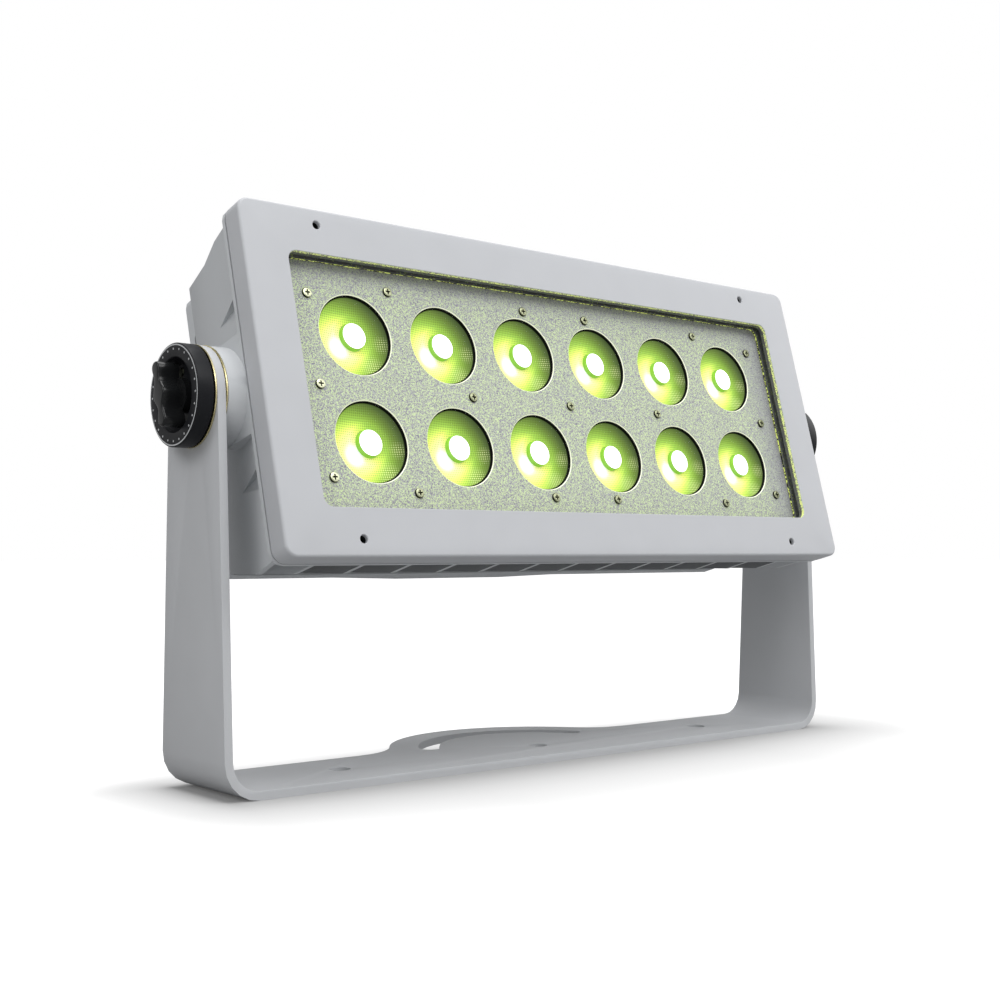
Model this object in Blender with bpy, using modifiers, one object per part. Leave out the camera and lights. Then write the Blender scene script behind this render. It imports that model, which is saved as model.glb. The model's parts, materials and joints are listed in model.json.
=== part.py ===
"""LED light panel on its yoke, standing on the floor with its face tilted up.

The frame: +X to the right of someone who looks at the lamp's face, -Y the way the face points
before it is tilted, +Z up. The origin is on the floor, midway between the foremost and the rearmost
point. Sizes are in metres. Pieces of the head are written in the head's own axes, which turn about
the tilt axis: there the face looks straight along -Y, and the origin is on the tilt axis.
"""

import math

import bmesh
import bpy
from mathutils import Matrix, Vector

# Fits
GAP = 0.0003  # between two pieces that touch
HOLE_CLEARANCE = 0.0003  # around a screw, stud or button in its hole

# The lights and their reflectors
COLUMNS = 6
ROWS = 2
COLUMN_PITCH = 0.064
ROW_PITCH = 0.0646
OPENING_WEB = 0.015  # plate left between two neighbouring openings
EMITTER_RADIUS = 0.008
EMITTER_PROUD = 0.0001  # the emitter's face ahead of the reflector's rim
REFLECTOR_LAP = 0.001  # how far a reflector's rim reaches behind the plate
REFLECTOR_DEPTH = 0.0047
DISH_DEPTH = 0.0031

# The plate around the lights, and its screws
PLATE = 0.0015
PLATE_TO_SEAL = 0.0023  # the plate's back to the bezel's back
PLATE_SCREW_EDGE = 0.0052  # from an opening's edge out to a screw's centre, above and beside it
PLATE_SCREW_SHIFT = 0.005  # from the line midway between columns, or on a column, to a screw
MIDDLE_SCREW_SHIFT = 0.0165
END_SCREW_RISE = 0.0222  # from a row of lights to the screw beyond its end
SCREW_RADIUS = 0.0015
SCREW_HEAD_RADIUS = 0.003
SCREW_HEAD = 0.0015
STANDOFF_RADIUS = 0.0038

# Window, glass and gasket
WINDOW_SIDE_MARGIN = 0.0205  # from the outer openings' edge to the window's edge
WINDOW_TOP_MARGIN = 0.0176
WINDOW_CORNER = 0.006
GLASS = 0.003
GLASS_BITE = 0.004  # how far the glass sits in its gasket
GASKET_WALL = 0.007  # from the window's edge out to the gasket's rim
GASKET_FRONT_LIP = 0.0009
GLASS_TO_SCREWS = 0.0004

# Bezel
BEZEL_RAIL = 0.028
BEZEL_LIP = 0.0035
BEZEL_CORNER = 0.0075
BEZEL_EDGE = 0.003
FACE_TO_PIVOT = 0.0438  # from the bezel's face back to the tilt axis
FACE_HOLE_RADIUS = 0.0025
FACE_HOLE_SIDE_INSET = 0.0498
FACE_HOLE_TOP_INSET = 0.0101
SEAL = 0.0008
SEAL_INSET = 0.0015

# Heat sink housing
FLANGE = 0.0027
LED_BOARD = 0.0016
HEAT_SPREADER = 0.006
CAVITY_SIDE_MARGIN = 0.0025
CAVITY_TOP_MARGIN = 0.0012
CORE_WALL = 0.004
HOUSING_DEPTH = 0.0772  # behind the flange
HOUSING_FRONT_INSET = 0.0025  # side wall inside the bezel's side, at the flange
HOUSING_REAR_INSET = 0.018  # the same at the back
FIN_PITCH = 0.0332
FIN = 0.003
TOP_FRONT_DROP = 0.0079  # fins below the bezel's top edge, at the flange
TOP_REAR_DROP = 0.0122
TOP_STEP_START = 0.023
TOP_STEP_END = 0.045
BOTTOM_FRONT_DROP = 0.0029  # fins above the bezel's bottom edge, at the flange
BOTTOM_REAR_DROP = 0.0154
BOTTOM_SLOPE_START = 0.030
POCKET_RISE = 0.0455  # from the tilt axis up to a bezel screw's pocket in the side wall
POCKET_DROP = 0.0525  # the same down to a lower one
POCKET_HALF = 0.007
POCKET_LENGTH = 0.0325
POCKET_SCREW_INSET = 0.0048  # a pocket screw's centre inside the bezel's side
RAIL_SCREW_DROP = 0.0115  # the other bezel screws below the bezel's edge
RAIL_SCREW_CHANNELS = (1.5, 4.5)  # between which fins they stand, in fin pitches
BEZEL_SCREW_DEPTH = 0.007
COVER_BOSS_RADIUS = 0.006
COVER_SCREW_SIDE_INSET = 0.0265
COVER_SCREW_RISE = 0.0545

# Rear cover
REAR_GASKET = 0.0013
COVER_SIDE_INSET = 0.020
COVER_TOP_INSET = 0.0145
COVER_DEPTH = 0.0109
COVER_WALL = 0.003
COVER_CORNER = 0.006
COVER_EDGE = 0.0025
WIRE_HOLE_RADIUS = 0.010
CONNECTOR_X = 0.182
CONNECTOR_Z = 0.032
CONNECTOR_RADIUS = 0.010
CONNECTOR_FLANGE_RADIUS = 0.014
SOCKET_RADIUS = 0.007
EYE_RADIUS = 0.009
EYE_WIRE_RADIUS = 0.0025
EYE_LIFT = 0.0054  # from the cover's back to the middle of the eye's curve

# Driver housing
DRIVER_HALF_WIDTH = 0.150
DRIVER_END_HALF_HEIGHT = 0.073
DRIVER_CROWN = 0.003
DRIVER_DEPTH = 0.0577
DRIVER_WALL = 0.003
DRIVER_CORNER = 0.010
DRIVER_EDGE = 0.004
DRIVER_BOLT_INSET = 0.011
DRIVER_BOSS_RADIUS = 0.0055
DRIVER_BOLT_HEAD = 0.003
DRIVER_BOLT_HEAD_RADIUS = 0.0038
MODULE_SIZE = (0.170, 0.038, 0.090)
CONTROL_BOARD = 0.0016
CONTROL_BOARD_SIZE = (0.110, 0.056)
CONTROL_RISE = 0.012
DISPLAY_SIZE = (0.052, 0.024)
DISPLAY = 0.0012
DISPLAY_LEDGE = 0.002
DISPLAY_RISE = 0.012
BUTTON_RADIUS = 0.0045
BUTTON_PITCH = 0.018
BUTTON_DROP = 0.016
BUTTON_PROUD = 0.0018
BUTTON_TRAVEL = 0.001
BUTTON_RIM = 0.0007
VENT_RADIUS = 0.0075
VENT_SIDE_INSET = 0.035
VENT_RISE = 0.028  # above the driver housing's lower edge

# Tilt lock
BOSS_RADIUS = 0.0282
PAD_HALF_HEIGHT = 0.0288
INNER_BOSS_RADIUS = 0.014
INNER_BOSS_LENGTH = 0.009
SHIM = 0.001
STUD_RADIUS = 0.006
STUD_HEAD_RADIUS = 0.010
STUD_HEAD = 0.006
STUD_TIP_RADIUS = 0.004  # the thinner threaded end that the knob turns on
STUD_ENGAGEMENT = 0.008  # how far the stud reaches into the knob
DIAL_RADIUS = 0.0283
DIAL_THICKNESS = 0.0098
DIAL_EDGE = 0.001
BOWL_RADIUS = 0.0205
BOWL_FLOOR_RADIUS = 0.0165
DIAL_FLOOR = 0.003
KNOB_BOWL_GAP = 0.0021  # from the ends of the wing to the rim of the dial's bowl
KNOB_LOBE = 0.0039  # half widths of the wing at its ends, in its two hollows and in the middle
KNOB_HOLLOW = 0.0027
KNOB_MIDDLE = 0.0062
KNOB_HOLLOW_SHARE = 0.58  # of the way from the axis to the middle of an end lobe
KNOB_HUB_RADIUS = 0.0095
KNOB_HUB = 0.004
KNOB_PROUD = 0.0092  # the knob's end beyond the dial's face
KNOB_EDGE = 0.0012

# Yoke
YOKE_PLATE = 0.005
ARM_CLEARANCE = 0.013  # between the bezel's side and the arm
ARM_TOP_RADIUS = 0.028
BASE_HALF_DEPTH = 0.0367
BEND_RADIUS = 0.016
BULGE_RADIUS = 0.0975
BULGE_FILLET = 0.043
BASE_HOLE_RADIUS = 0.00675
SIDE_HOLE_X = 0.1555
SLOT_INNER_RADIUS = 0.0645
SLOT_WIDTH = 0.014
SLOT_HALF_ANGLE = math.radians(61)
PIVOT_HEIGHT = 0.218
TILT = math.radians(15)

# Positions that follow from the sizes above, in the head's axes
OPENING_RADIUS = (min(COLUMN_PITCH, ROW_PITCH) - OPENING_WEB) / 2
REFLECTOR_RADIUS = OPENING_RADIUS + REFLECTOR_LAP
LAST_COLUMN = (COLUMNS - 1) / 2 * COLUMN_PITCH
LAST_ROW = (ROWS - 1) / 2 * ROW_PITCH
WINDOW_X = LAST_COLUMN + OPENING_RADIUS + WINDOW_SIDE_MARGIN
WINDOW_Z = LAST_ROW + OPENING_RADIUS + WINDOW_TOP_MARGIN
FACE_X = WINDOW_X + BEZEL_RAIL
FACE_Z = WINDOW_Z + BEZEL_RAIL
CAVITY_X = LAST_COLUMN + REFLECTOR_RADIUS + CAVITY_SIDE_MARGIN
CAVITY_Z = LAST_ROW + REFLECTOR_RADIUS + CAVITY_TOP_MARGIN
CORE_Z = CAVITY_Z + CORE_WALL
RECESS_X = WINDOW_X + GASKET_WALL
RECESS_Z = WINDOW_Z + GASKET_WALL
GASKET_CHANNEL = GLASS + 2 * GAP
GASKET_REAR_LIP = SCREW_HEAD + GLASS_TO_SCREWS

FACE_Y = -FACE_TO_PIVOT
LIP_Y = FACE_Y + BEZEL_LIP
GASKET_Y = LIP_Y + GAP
CHANNEL_Y = GASKET_Y + GASKET_FRONT_LIP
GLASS_Y = CHANNEL_Y + GAP
GASKET_BACK_Y = CHANNEL_Y + GASKET_CHANNEL + GASKET_REAR_LIP
PLATE_Y = GASKET_BACK_Y + GAP
PLATE_BACK_Y = PLATE_Y + PLATE
RIM_Y = PLATE_BACK_Y + GAP
REFLECTOR_BACK_Y = RIM_Y + REFLECTOR_DEPTH
BOARD_Y = REFLECTOR_BACK_Y + GAP
SPREADER_Y = BOARD_Y + LED_BOARD + GAP
SPREADER_BACK_Y = SPREADER_Y + HEAT_SPREADER
BEZEL_BACK_Y = PLATE_BACK_Y + PLATE_TO_SEAL
SEAL_Y = BEZEL_BACK_Y + GAP
FLANGE_Y = SEAL_Y + SEAL + GAP
FLANGE_BACK_Y = FLANGE_Y + FLANGE
HOUSING_BACK_Y = FLANGE_BACK_Y + HOUSING_DEPTH
REAR_GASKET_Y = HOUSING_BACK_Y + GAP
COVER_Y = REAR_GASKET_Y + REAR_GASKET + GAP
COVER_BACK_Y = COVER_Y + COVER_DEPTH
DRIVER_Y = COVER_BACK_Y + GAP
DRIVER_BACK_Y = DRIVER_Y + DRIVER_DEPTH
DRIVER_WALL_Y = DRIVER_BACK_Y - DRIVER_WALL

HOUSING_FRONT_X = FACE_X - HOUSING_FRONT_INSET
HOUSING_REAR_X = FACE_X - HOUSING_REAR_INSET
COVER_X = FACE_X - COVER_SIDE_INSET
COVER_Z = FACE_Z - COVER_TOP_INSET
COVER_SCREW_X = FACE_X - COVER_SCREW_SIDE_INSET
DRIVER_BOLT_X = DRIVER_HALF_WIDTH - DRIVER_BOLT_INSET
DRIVER_BOLT_Z = DRIVER_END_HALF_HEIGHT - DRIVER_BOLT_INSET
VENT_X = DRIVER_HALF_WIDTH - VENT_SIDE_INSET
VENT_Z = DRIVER_END_HALF_HEIGHT - VENT_RISE

ARM_INSIDE = FACE_X + ARM_CLEARANCE
ARM_OUTSIDE = ARM_INSIDE + YOKE_PLATE
BOSS_FACE_X = ARM_INSIDE - GAP - SHIM - GAP
DIAL_X = ARM_OUTSIDE + GAP + SHIM + GAP
DIAL_FACE_X = DIAL_X + DIAL_THICKNESS
KNOB_X = DIAL_X + DIAL_FLOOR + GAP
KNOB_END_X = DIAL_FACE_X + KNOB_PROUD
KNOB_HALF_LENGTH = BOWL_RADIUS - KNOB_BOWL_GAP - KNOB_LOBE
STUD_SHOULDER_X = KNOB_X - 2 * GAP
STUD_END_X = KNOB_X + STUD_ENGAGEMENT
SCREW_HOLE_RADIUS = SCREW_RADIUS + HOLE_CLEARANCE
STUD_HOLE_RADIUS = STUD_RADIUS + HOLE_CLEARANCE

# The foremost point is the bezel's lower front edge, the rearmost the driver housing's upper one
FRONT_REACH = FACE_TO_PIVOT * math.cos(TILT) + FACE_Z * math.sin(TILT)
FRONT_ROUNDING = BEZEL_EDGE * (math.cos(TILT) + math.sin(TILT) - 1)
REAR_REACH = DRIVER_BACK_Y * math.cos(TILT) + (DRIVER_END_HALF_HEIGHT + DRIVER_CROWN) * math.sin(TILT)
REAR_ROUNDING = DRIVER_EDGE * (math.cos(TILT) + math.sin(TILT) - 1)
PIVOT_Y = (FRONT_REACH - FRONT_ROUNDING - REAR_REACH + REAR_ROUNDING) / 2

# A turned piece is drawn about +Z, and these lay its axis along another line
FACING_FRONT = Matrix.Rotation(math.radians(90), 4, "X")
FACING_REAR = Matrix.Rotation(math.radians(-90), 4, "X")
FACING_LEFT = Matrix.Rotation(math.radians(-90), 4, "Y")
FACING_RIGHT = Matrix.Rotation(math.radians(90), 4, "Y")
# A flat outline is drawn in X and Y, and these name the line it is then extruded along
SECTION_AXES = {
    "x": Matrix(((0, 0, 1, 0), (1, 0, 0, 0), (0, 1, 0, 0), (0, 0, 0, 1))),
    "y": Matrix(((1, 0, 0, 0), (0, 0, 1, 0), (0, 1, 0, 0), (0, 0, 0, 1))),
    "z": Matrix.Identity(4),
}


def clear_scene():
    for old in list(bpy.data.objects):
        bpy.data.objects.remove(old)


def new_collection(name):
    collection = bpy.data.collections.new(name)
    bpy.context.scene.collection.children.link(collection)
    return collection


def material(name, colour, roughness, metallic=0.0):
    made = bpy.data.materials.new(name)
    made.use_nodes = True
    shader = made.node_tree.nodes["Principled BSDF"]
    shader.inputs["Base Color"].default_value = (*colour, 1.0)
    shader.inputs["Roughness"].default_value = roughness
    shader.inputs["Metallic"].default_value = metallic
    return made


clear_scene()
PIECES = new_collection("led_light_panel")
CUTTERS = new_collection("cutters")

COATED_STEEL = material("coated_steel", (0.46, 0.47, 0.49), 0.55)
COATED_ALLOY = material("coated_alloy", (0.40, 0.41, 0.42), 0.55)
BEZEL_PAINT = material("bezel_paint", (0.52, 0.54, 0.56), 0.5)
BLACK_PLASTIC = material("black_plastic", (0.012, 0.012, 0.014), 0.3)
BLACK_RUBBER = material("black_rubber", (0.02, 0.02, 0.02), 0.8)
BRASS = material("brass", (0.72, 0.55, 0.20), 0.3, 1.0)
STEEL = material("steel", (0.55, 0.55, 0.56), 0.35, 1.0)
CLEAR_GLASS = material("clear_glass", (0.85, 0.92, 0.88), 0.05)
SPECKLED_PLATE = material("speckled_plate", (0.38, 0.40, 0.36), 0.6)
REFLECTOR_COAT = material("reflector_coat", (0.45, 0.75, 0.12), 0.25)
CIRCUIT_BOARD = material("circuit_board", (0.85, 0.86, 0.84), 0.6)
GREEN_BOARD = material("green_board", (0.03, 0.16, 0.06), 0.5)
DARK_LENS = material("dark_lens", (0.02, 0.02, 0.03), 0.1)
MODULE_CASE = material("module_case", (0.62, 0.63, 0.65), 0.4, 1.0)


def arc(centre, radius, start, stop, steps):
    """Points on a circle from one angle to another, both ends included."""
    angles = [start + (stop - start) * step / steps for step in range(steps + 1)]
    return [(centre[0] + radius * math.cos(a), centre[1] + radius * math.sin(a)) for a in angles]


def circle(centre, radius, steps):
    return arc(centre, radius, 0, 2 * math.pi, steps)[:-1]


def rounded_rectangle(half_a, half_b, radius, steps=3):
    points = []
    for turn, (a, b) in enumerate(((1, 1), (-1, 1), (-1, -1), (1, -1))):
        corner = (a * (half_a - radius), b * (half_b - radius))
        points += arc(corner, radius, turn * math.pi / 2, (turn + 1) * math.pi / 2, steps)
    return points


def closed_mesh(name, shape):
    """The bmesh as a mesh with welded points and faces that look out."""
    bmesh.ops.remove_doubles(shape, verts=shape.verts, dist=1e-7)
    bmesh.ops.recalc_face_normals(shape, faces=shape.faces)
    mesh = bpy.data.meshes.new(name)
    shape.to_mesh(mesh)
    shape.free()
    return mesh


def evaluated_mesh(guide):
    """What a helper object's curve or modifiers make, as a mesh. The helper is removed."""
    bpy.context.scene.collection.objects.link(guide)
    bpy.context.view_layer.update()
    graph = bpy.context.evaluated_depsgraph_get()
    mesh = bpy.data.meshes.new_from_object(guide.evaluated_get(graph))
    mesh.transform(guide.matrix_world)
    bpy.data.objects.remove(guide)
    shape = bmesh.new()
    shape.from_mesh(mesh)
    return closed_mesh(mesh.name, shape)


def extruded(name, outlines, axis, low, high):
    """A flat outline, with any holes as further outlines, extruded from low to high."""
    curve = bpy.data.curves.new(name, "CURVE")
    curve.dimensions = "2D"
    curve.fill_mode = "BOTH"
    curve.extrude = (high - low) / 2
    for points in outlines:
        spline = curve.splines.new("POLY")
        spline.points.add(len(points) - 1)
        for point, (a, b) in zip(spline.points, points):
            point.co = (a, b, 0, 1)
        spline.use_cyclic_u = True
    guide = bpy.data.objects.new(name, curve)
    guide.matrix_world = SECTION_AXES[axis] @ Matrix.Translation((0, 0, (low + high) / 2))
    return evaluated_mesh(guide)


def turned(name, profile, steps, ring=False):
    """A profile of (radius, height) points turned about Z, from the top down its outer side."""
    mesh = bpy.data.meshes.new(name)
    edges = [(i, i + 1) for i in range(len(profile) - 1)]
    if ring:
        edges.append((len(profile) - 1, 0))
    mesh.from_pydata([(radius, 0, height) for radius, height in profile], edges, [])
    guide = bpy.data.objects.new(name, mesh)
    screw = guide.modifiers.new("turn", "SCREW")
    screw.steps = steps
    screw.render_steps = steps
    screw.use_merge_vertices = True
    screw.merge_threshold = 1e-6
    return evaluated_mesh(guide)


def tube(name, points, radius):
    """A round wire along the points, with closed ends."""
    curve = bpy.data.curves.new(name, "CURVE")
    curve.dimensions = "3D"
    curve.bevel_depth = radius
    curve.bevel_resolution = 2
    curve.use_fill_caps = True
    spline = curve.splines.new("POLY")
    spline.points.add(len(points) - 1)
    for point, place in zip(spline.points, points):
        point.co = (*place, 1)
    return evaluated_mesh(bpy.data.objects.new(name, curve))


def box(name, x, y, z):
    """A block between the two values of x, of y and of z."""
    shape = bmesh.new()
    size = Vector((x[1] - x[0], y[1] - y[0], z[1] - z[0]))
    middle = Vector((x[0] + x[1], y[0] + y[1], z[0] + z[1])) / 2
    bmesh.ops.create_cube(shape, size=1, matrix=Matrix.Translation(middle) @ Matrix.Diagonal((*size, 1)))
    return closed_mesh(name, shape)


def rod(name, radius, low, high, facing, centre=(0, 0, 0), steps=12):
    """A cylinder from low to high along the line that the facing matrix gives."""
    shape = bmesh.new()
    place = Matrix.Translation(centre) @ facing @ Matrix.Translation((0, 0, (low + high) / 2))
    bmesh.ops.create_cone(
        shape, cap_ends=True, segments=steps, radius1=radius, radius2=radius, depth=high - low, matrix=place
    )
    return closed_mesh(name, shape)


def placed(mesh, matrix):
    copy = mesh.copy()
    copy.transform(matrix)
    return copy


def gathered(name, meshes):
    """Separate solids that share one mesh."""
    shape = bmesh.new()
    for mesh in meshes:
        shape.from_mesh(mesh)
    joined = bpy.data.meshes.new(name)
    shape.to_mesh(joined)
    shape.free()
    return joined


def round_edges(mesh, chosen, radius, steps):
    """Rounds the edges whose two ends both pass the test."""
    shape = bmesh.new()
    shape.from_mesh(mesh)
    edges = [e for e in shape.edges if chosen(e.verts[0].co) and chosen(e.verts[1].co)]
    rim = [e for e in edges if len(e.link_faces) == 2 and e.calc_face_angle() > math.radians(45)]
    bmesh.ops.bevel(shape, geom=rim, offset=radius, segments=steps, profile=0.5, affect="EDGES", material=-1)
    shape.to_mesh(mesh)
    shape.free()
    return mesh


def piece(name, mesh, finish, parent, location=(0, 0, 0)):
    """A finished piece, placed in its parent's axes."""
    mesh.name = name
    mesh.materials.clear()
    mesh.materials.append(finish)
    mesh.shade_smooth()
    mesh.set_sharp_from_angle(angle=math.radians(35))
    made = bpy.data.objects.new(name, mesh)
    made.parent = parent
    made.location = location
    PIECES.objects.link(made)
    return made


def shape_with(made, mesh, operation):
    """Cuts, joins or intersects a piece with a mesh written in the same axes."""
    cutter = bpy.data.objects.new(f"{made.name}_{operation.lower()}_{len(made.modifiers) + 1}", mesh)
    cutter.parent = made.parent
    cutter.location = made.location
    cutter.display_type = "WIRE"
    cutter.hide_render = True
    CUTTERS.objects.link(cutter)
    boolean = made.modifiers.new(cutter.name, "BOOLEAN")
    boolean.operation = operation
    boolean.solver = "EXACT"
    boolean.object = cutter


def empty(name, location, turn=0.0, parent=None):
    made = bpy.data.objects.new(name, None)
    made.parent = parent
    made.location = location
    made.rotation_euler = (turn, 0, 0)
    PIECES.objects.link(made)
    return made


def light_places():
    """Centres of the lights in X and Z, by rows from the top, each from the left."""
    for row in range(ROWS):
        for column in range(COLUMNS):
            yield column * COLUMN_PITCH - LAST_COLUMN, LAST_ROW - row * ROW_PITCH


def mirrored(places):
    """The places together with their mirror images left for right and up for down."""
    found = []
    for x, z in places:
        for spot in ((x, z), (-x, z), (x, -z), (-x, -z)):
            if spot not in found:
                found.append(spot)
    return found


def plate_screw_places():
    """The seventeen screws of the plate: four along each long edge, and three rows between."""
    edge_z = LAST_ROW + OPENING_RADIUS + PLATE_SCREW_EDGE
    outer_x = LAST_COLUMN - COLUMN_PITCH / 2 + PLATE_SCREW_SHIFT
    inner_x = COLUMN_PITCH / 2 - PLATE_SCREW_SHIFT
    end_x = LAST_COLUMN + OPENING_RADIUS + PLATE_SCREW_EDGE
    middle_x = COLUMN_PITCH + MIDDLE_SCREW_SHIFT
    along_edges = [(outer_x, edge_z), (inner_x, edge_z)]
    at_ends = [(end_x, LAST_ROW + END_SCREW_RISE), (end_x, 0.0)]
    return mirrored(along_edges + at_ends + [(middle_x, 0.0), (0.0, 0.0)])


def pocket_screw_places():
    """The bezel's screws at its sides, reached through pockets in the housing."""
    x = FACE_X - POCKET_SCREW_INSET
    return [(x, POCKET_RISE), (-x, POCKET_RISE), (x, -POCKET_DROP), (-x, -POCKET_DROP)]


def channel_screw_places():
    """The bezel's other screws, in channels between fins, four at the top and four below."""
    return mirrored([(n * FIN_PITCH, FACE_Z - RAIL_SCREW_DROP) for n in RAIL_SCREW_CHANNELS])


def screw_mesh(head_radius, head, length, facing):
    """A screw whose head stands GAP clear of the origin plane, on which what it clamps ends."""
    profile = [
        (0, GAP + head),
        (head_radius, GAP + head),
        (head_radius, GAP),
        (SCREW_RADIUS, GAP),
        (SCREW_RADIUS, -length),
        (0, -length),
    ]
    return placed(turned("screw", profile, 8), facing)


def screws(name, mesh, places, y, head):
    """Each screw as its own piece, numbered from the upper right."""
    for number, (x, z) in enumerate(places, start=1):
        piece(f"{name}_{number}", mesh.copy(), STEEL, head, (x, y, z))


def posts(name, radius, places, low, high, steps=8):
    """Cylinders along Y at the places, to be joined to a piece."""
    return gathered(name, [rod(name, radius, low, high, FACING_REAR, (x, 0, z), steps) for x, z in places])


def holes(name, radius, places, low, high, steps=8):
    """Cutters along Y at the places, whose flat sides keep clear of the round radius."""
    return posts(name, radius / math.cos(math.pi / steps), places, low, high, steps)


def wall_x(y):
    """Outer face of the housing's side wall, which leans in towards the back."""
    share = (y - FLANGE_BACK_Y) / HOUSING_DEPTH
    return HOUSING_FRONT_X + (HOUSING_REAR_X - HOUSING_FRONT_X) * share


def plan_outline(front_y, back_y, inset):
    """The housing seen from above, between two depths, with its side walls moved in by the inset."""
    front = wall_x(front_y) - inset
    back = wall_x(back_y) - inset
    return [(-front, front_y), (front, front_y), (back, back_y), (-back, back_y)]


def side_outline(beyond):
    """The housing seen from the side: a step in the top, a slope at the bottom, longer at both ends."""
    front_y = FLANGE_BACK_Y - beyond
    back_y = HOUSING_BACK_Y + beyond
    top_front = FACE_Z - TOP_FRONT_DROP
    top_rear = FACE_Z - TOP_REAR_DROP
    bottom_front = -(FACE_Z - BOTTOM_FRONT_DROP)
    bottom_rear = -(FACE_Z - BOTTOM_REAR_DROP)
    return [
        (front_y, bottom_front),
        (FLANGE_BACK_Y + BOTTOM_SLOPE_START, bottom_front),
        (HOUSING_BACK_Y, bottom_rear),
        (back_y, bottom_rear),
        (back_y, top_rear),
        (FLANGE_BACK_Y + TOP_STEP_END, top_rear),
        (FLANGE_BACK_Y + TOP_STEP_START, top_front),
        (front_y, top_front),
    ]


def fin_places():
    """Middles of the fins, as many each side of the centre as the back of the housing holds."""
    room = HOUSING_REAR_X - CORE_WALL - 1.5 * FIN
    count = int(room / FIN_PITCH)
    return [n * FIN_PITCH for n in range(-count, count + 1)]


def channel_cutter():
    """The spaces between the fins and the side walls, above and below the core."""
    front_y = FLANGE_Y - FLANGE
    back_y = HOUSING_BACK_Y + FLANGE
    fins = fin_places()
    channels = [
        [(a + FIN / 2, front_y), (b - FIN / 2, front_y), (b - FIN / 2, back_y), (a + FIN / 2, back_y)]
        for a, b in zip(fins, fins[1:])
    ]
    last = fins[-1] + FIN / 2
    front_wall = wall_x(front_y) - CORE_WALL
    back_wall = wall_x(back_y) - CORE_WALL
    channels.append([(last, front_y), (front_wall, front_y), (back_wall, back_y), (last, back_y)])
    channels.append([(-x, y) for x, y in reversed(channels[-1])])
    far = FACE_Z + CORE_WALL
    above = [extruded("channel", [points], "z", CORE_Z, far) for points in channels]
    below = [extruded("channel", [points], "z", -far, -CORE_Z) for points in channels]
    return gathered("channels", above + below)


def pocket_cutter():
    """Wedges in the side walls that give a screwdriver its way to four of the bezel's screws."""
    tip_y = FLANGE_BACK_Y + POCKET_LENGTH
    floor_x = wall_x(tip_y)
    wedges = []
    for x, z in pocket_screw_places():
        low, high = sorted(math.copysign(end, x) for end in (floor_x, FACE_X + CORE_WALL))
        outline = [(FLANGE_BACK_Y, z - POCKET_HALF), (tip_y, z), (FLANGE_BACK_Y, z + POCKET_HALF)]
        wedges.append(extruded("pocket", [outline], "x", low, high))
    return gathered("pockets", wedges)


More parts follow.
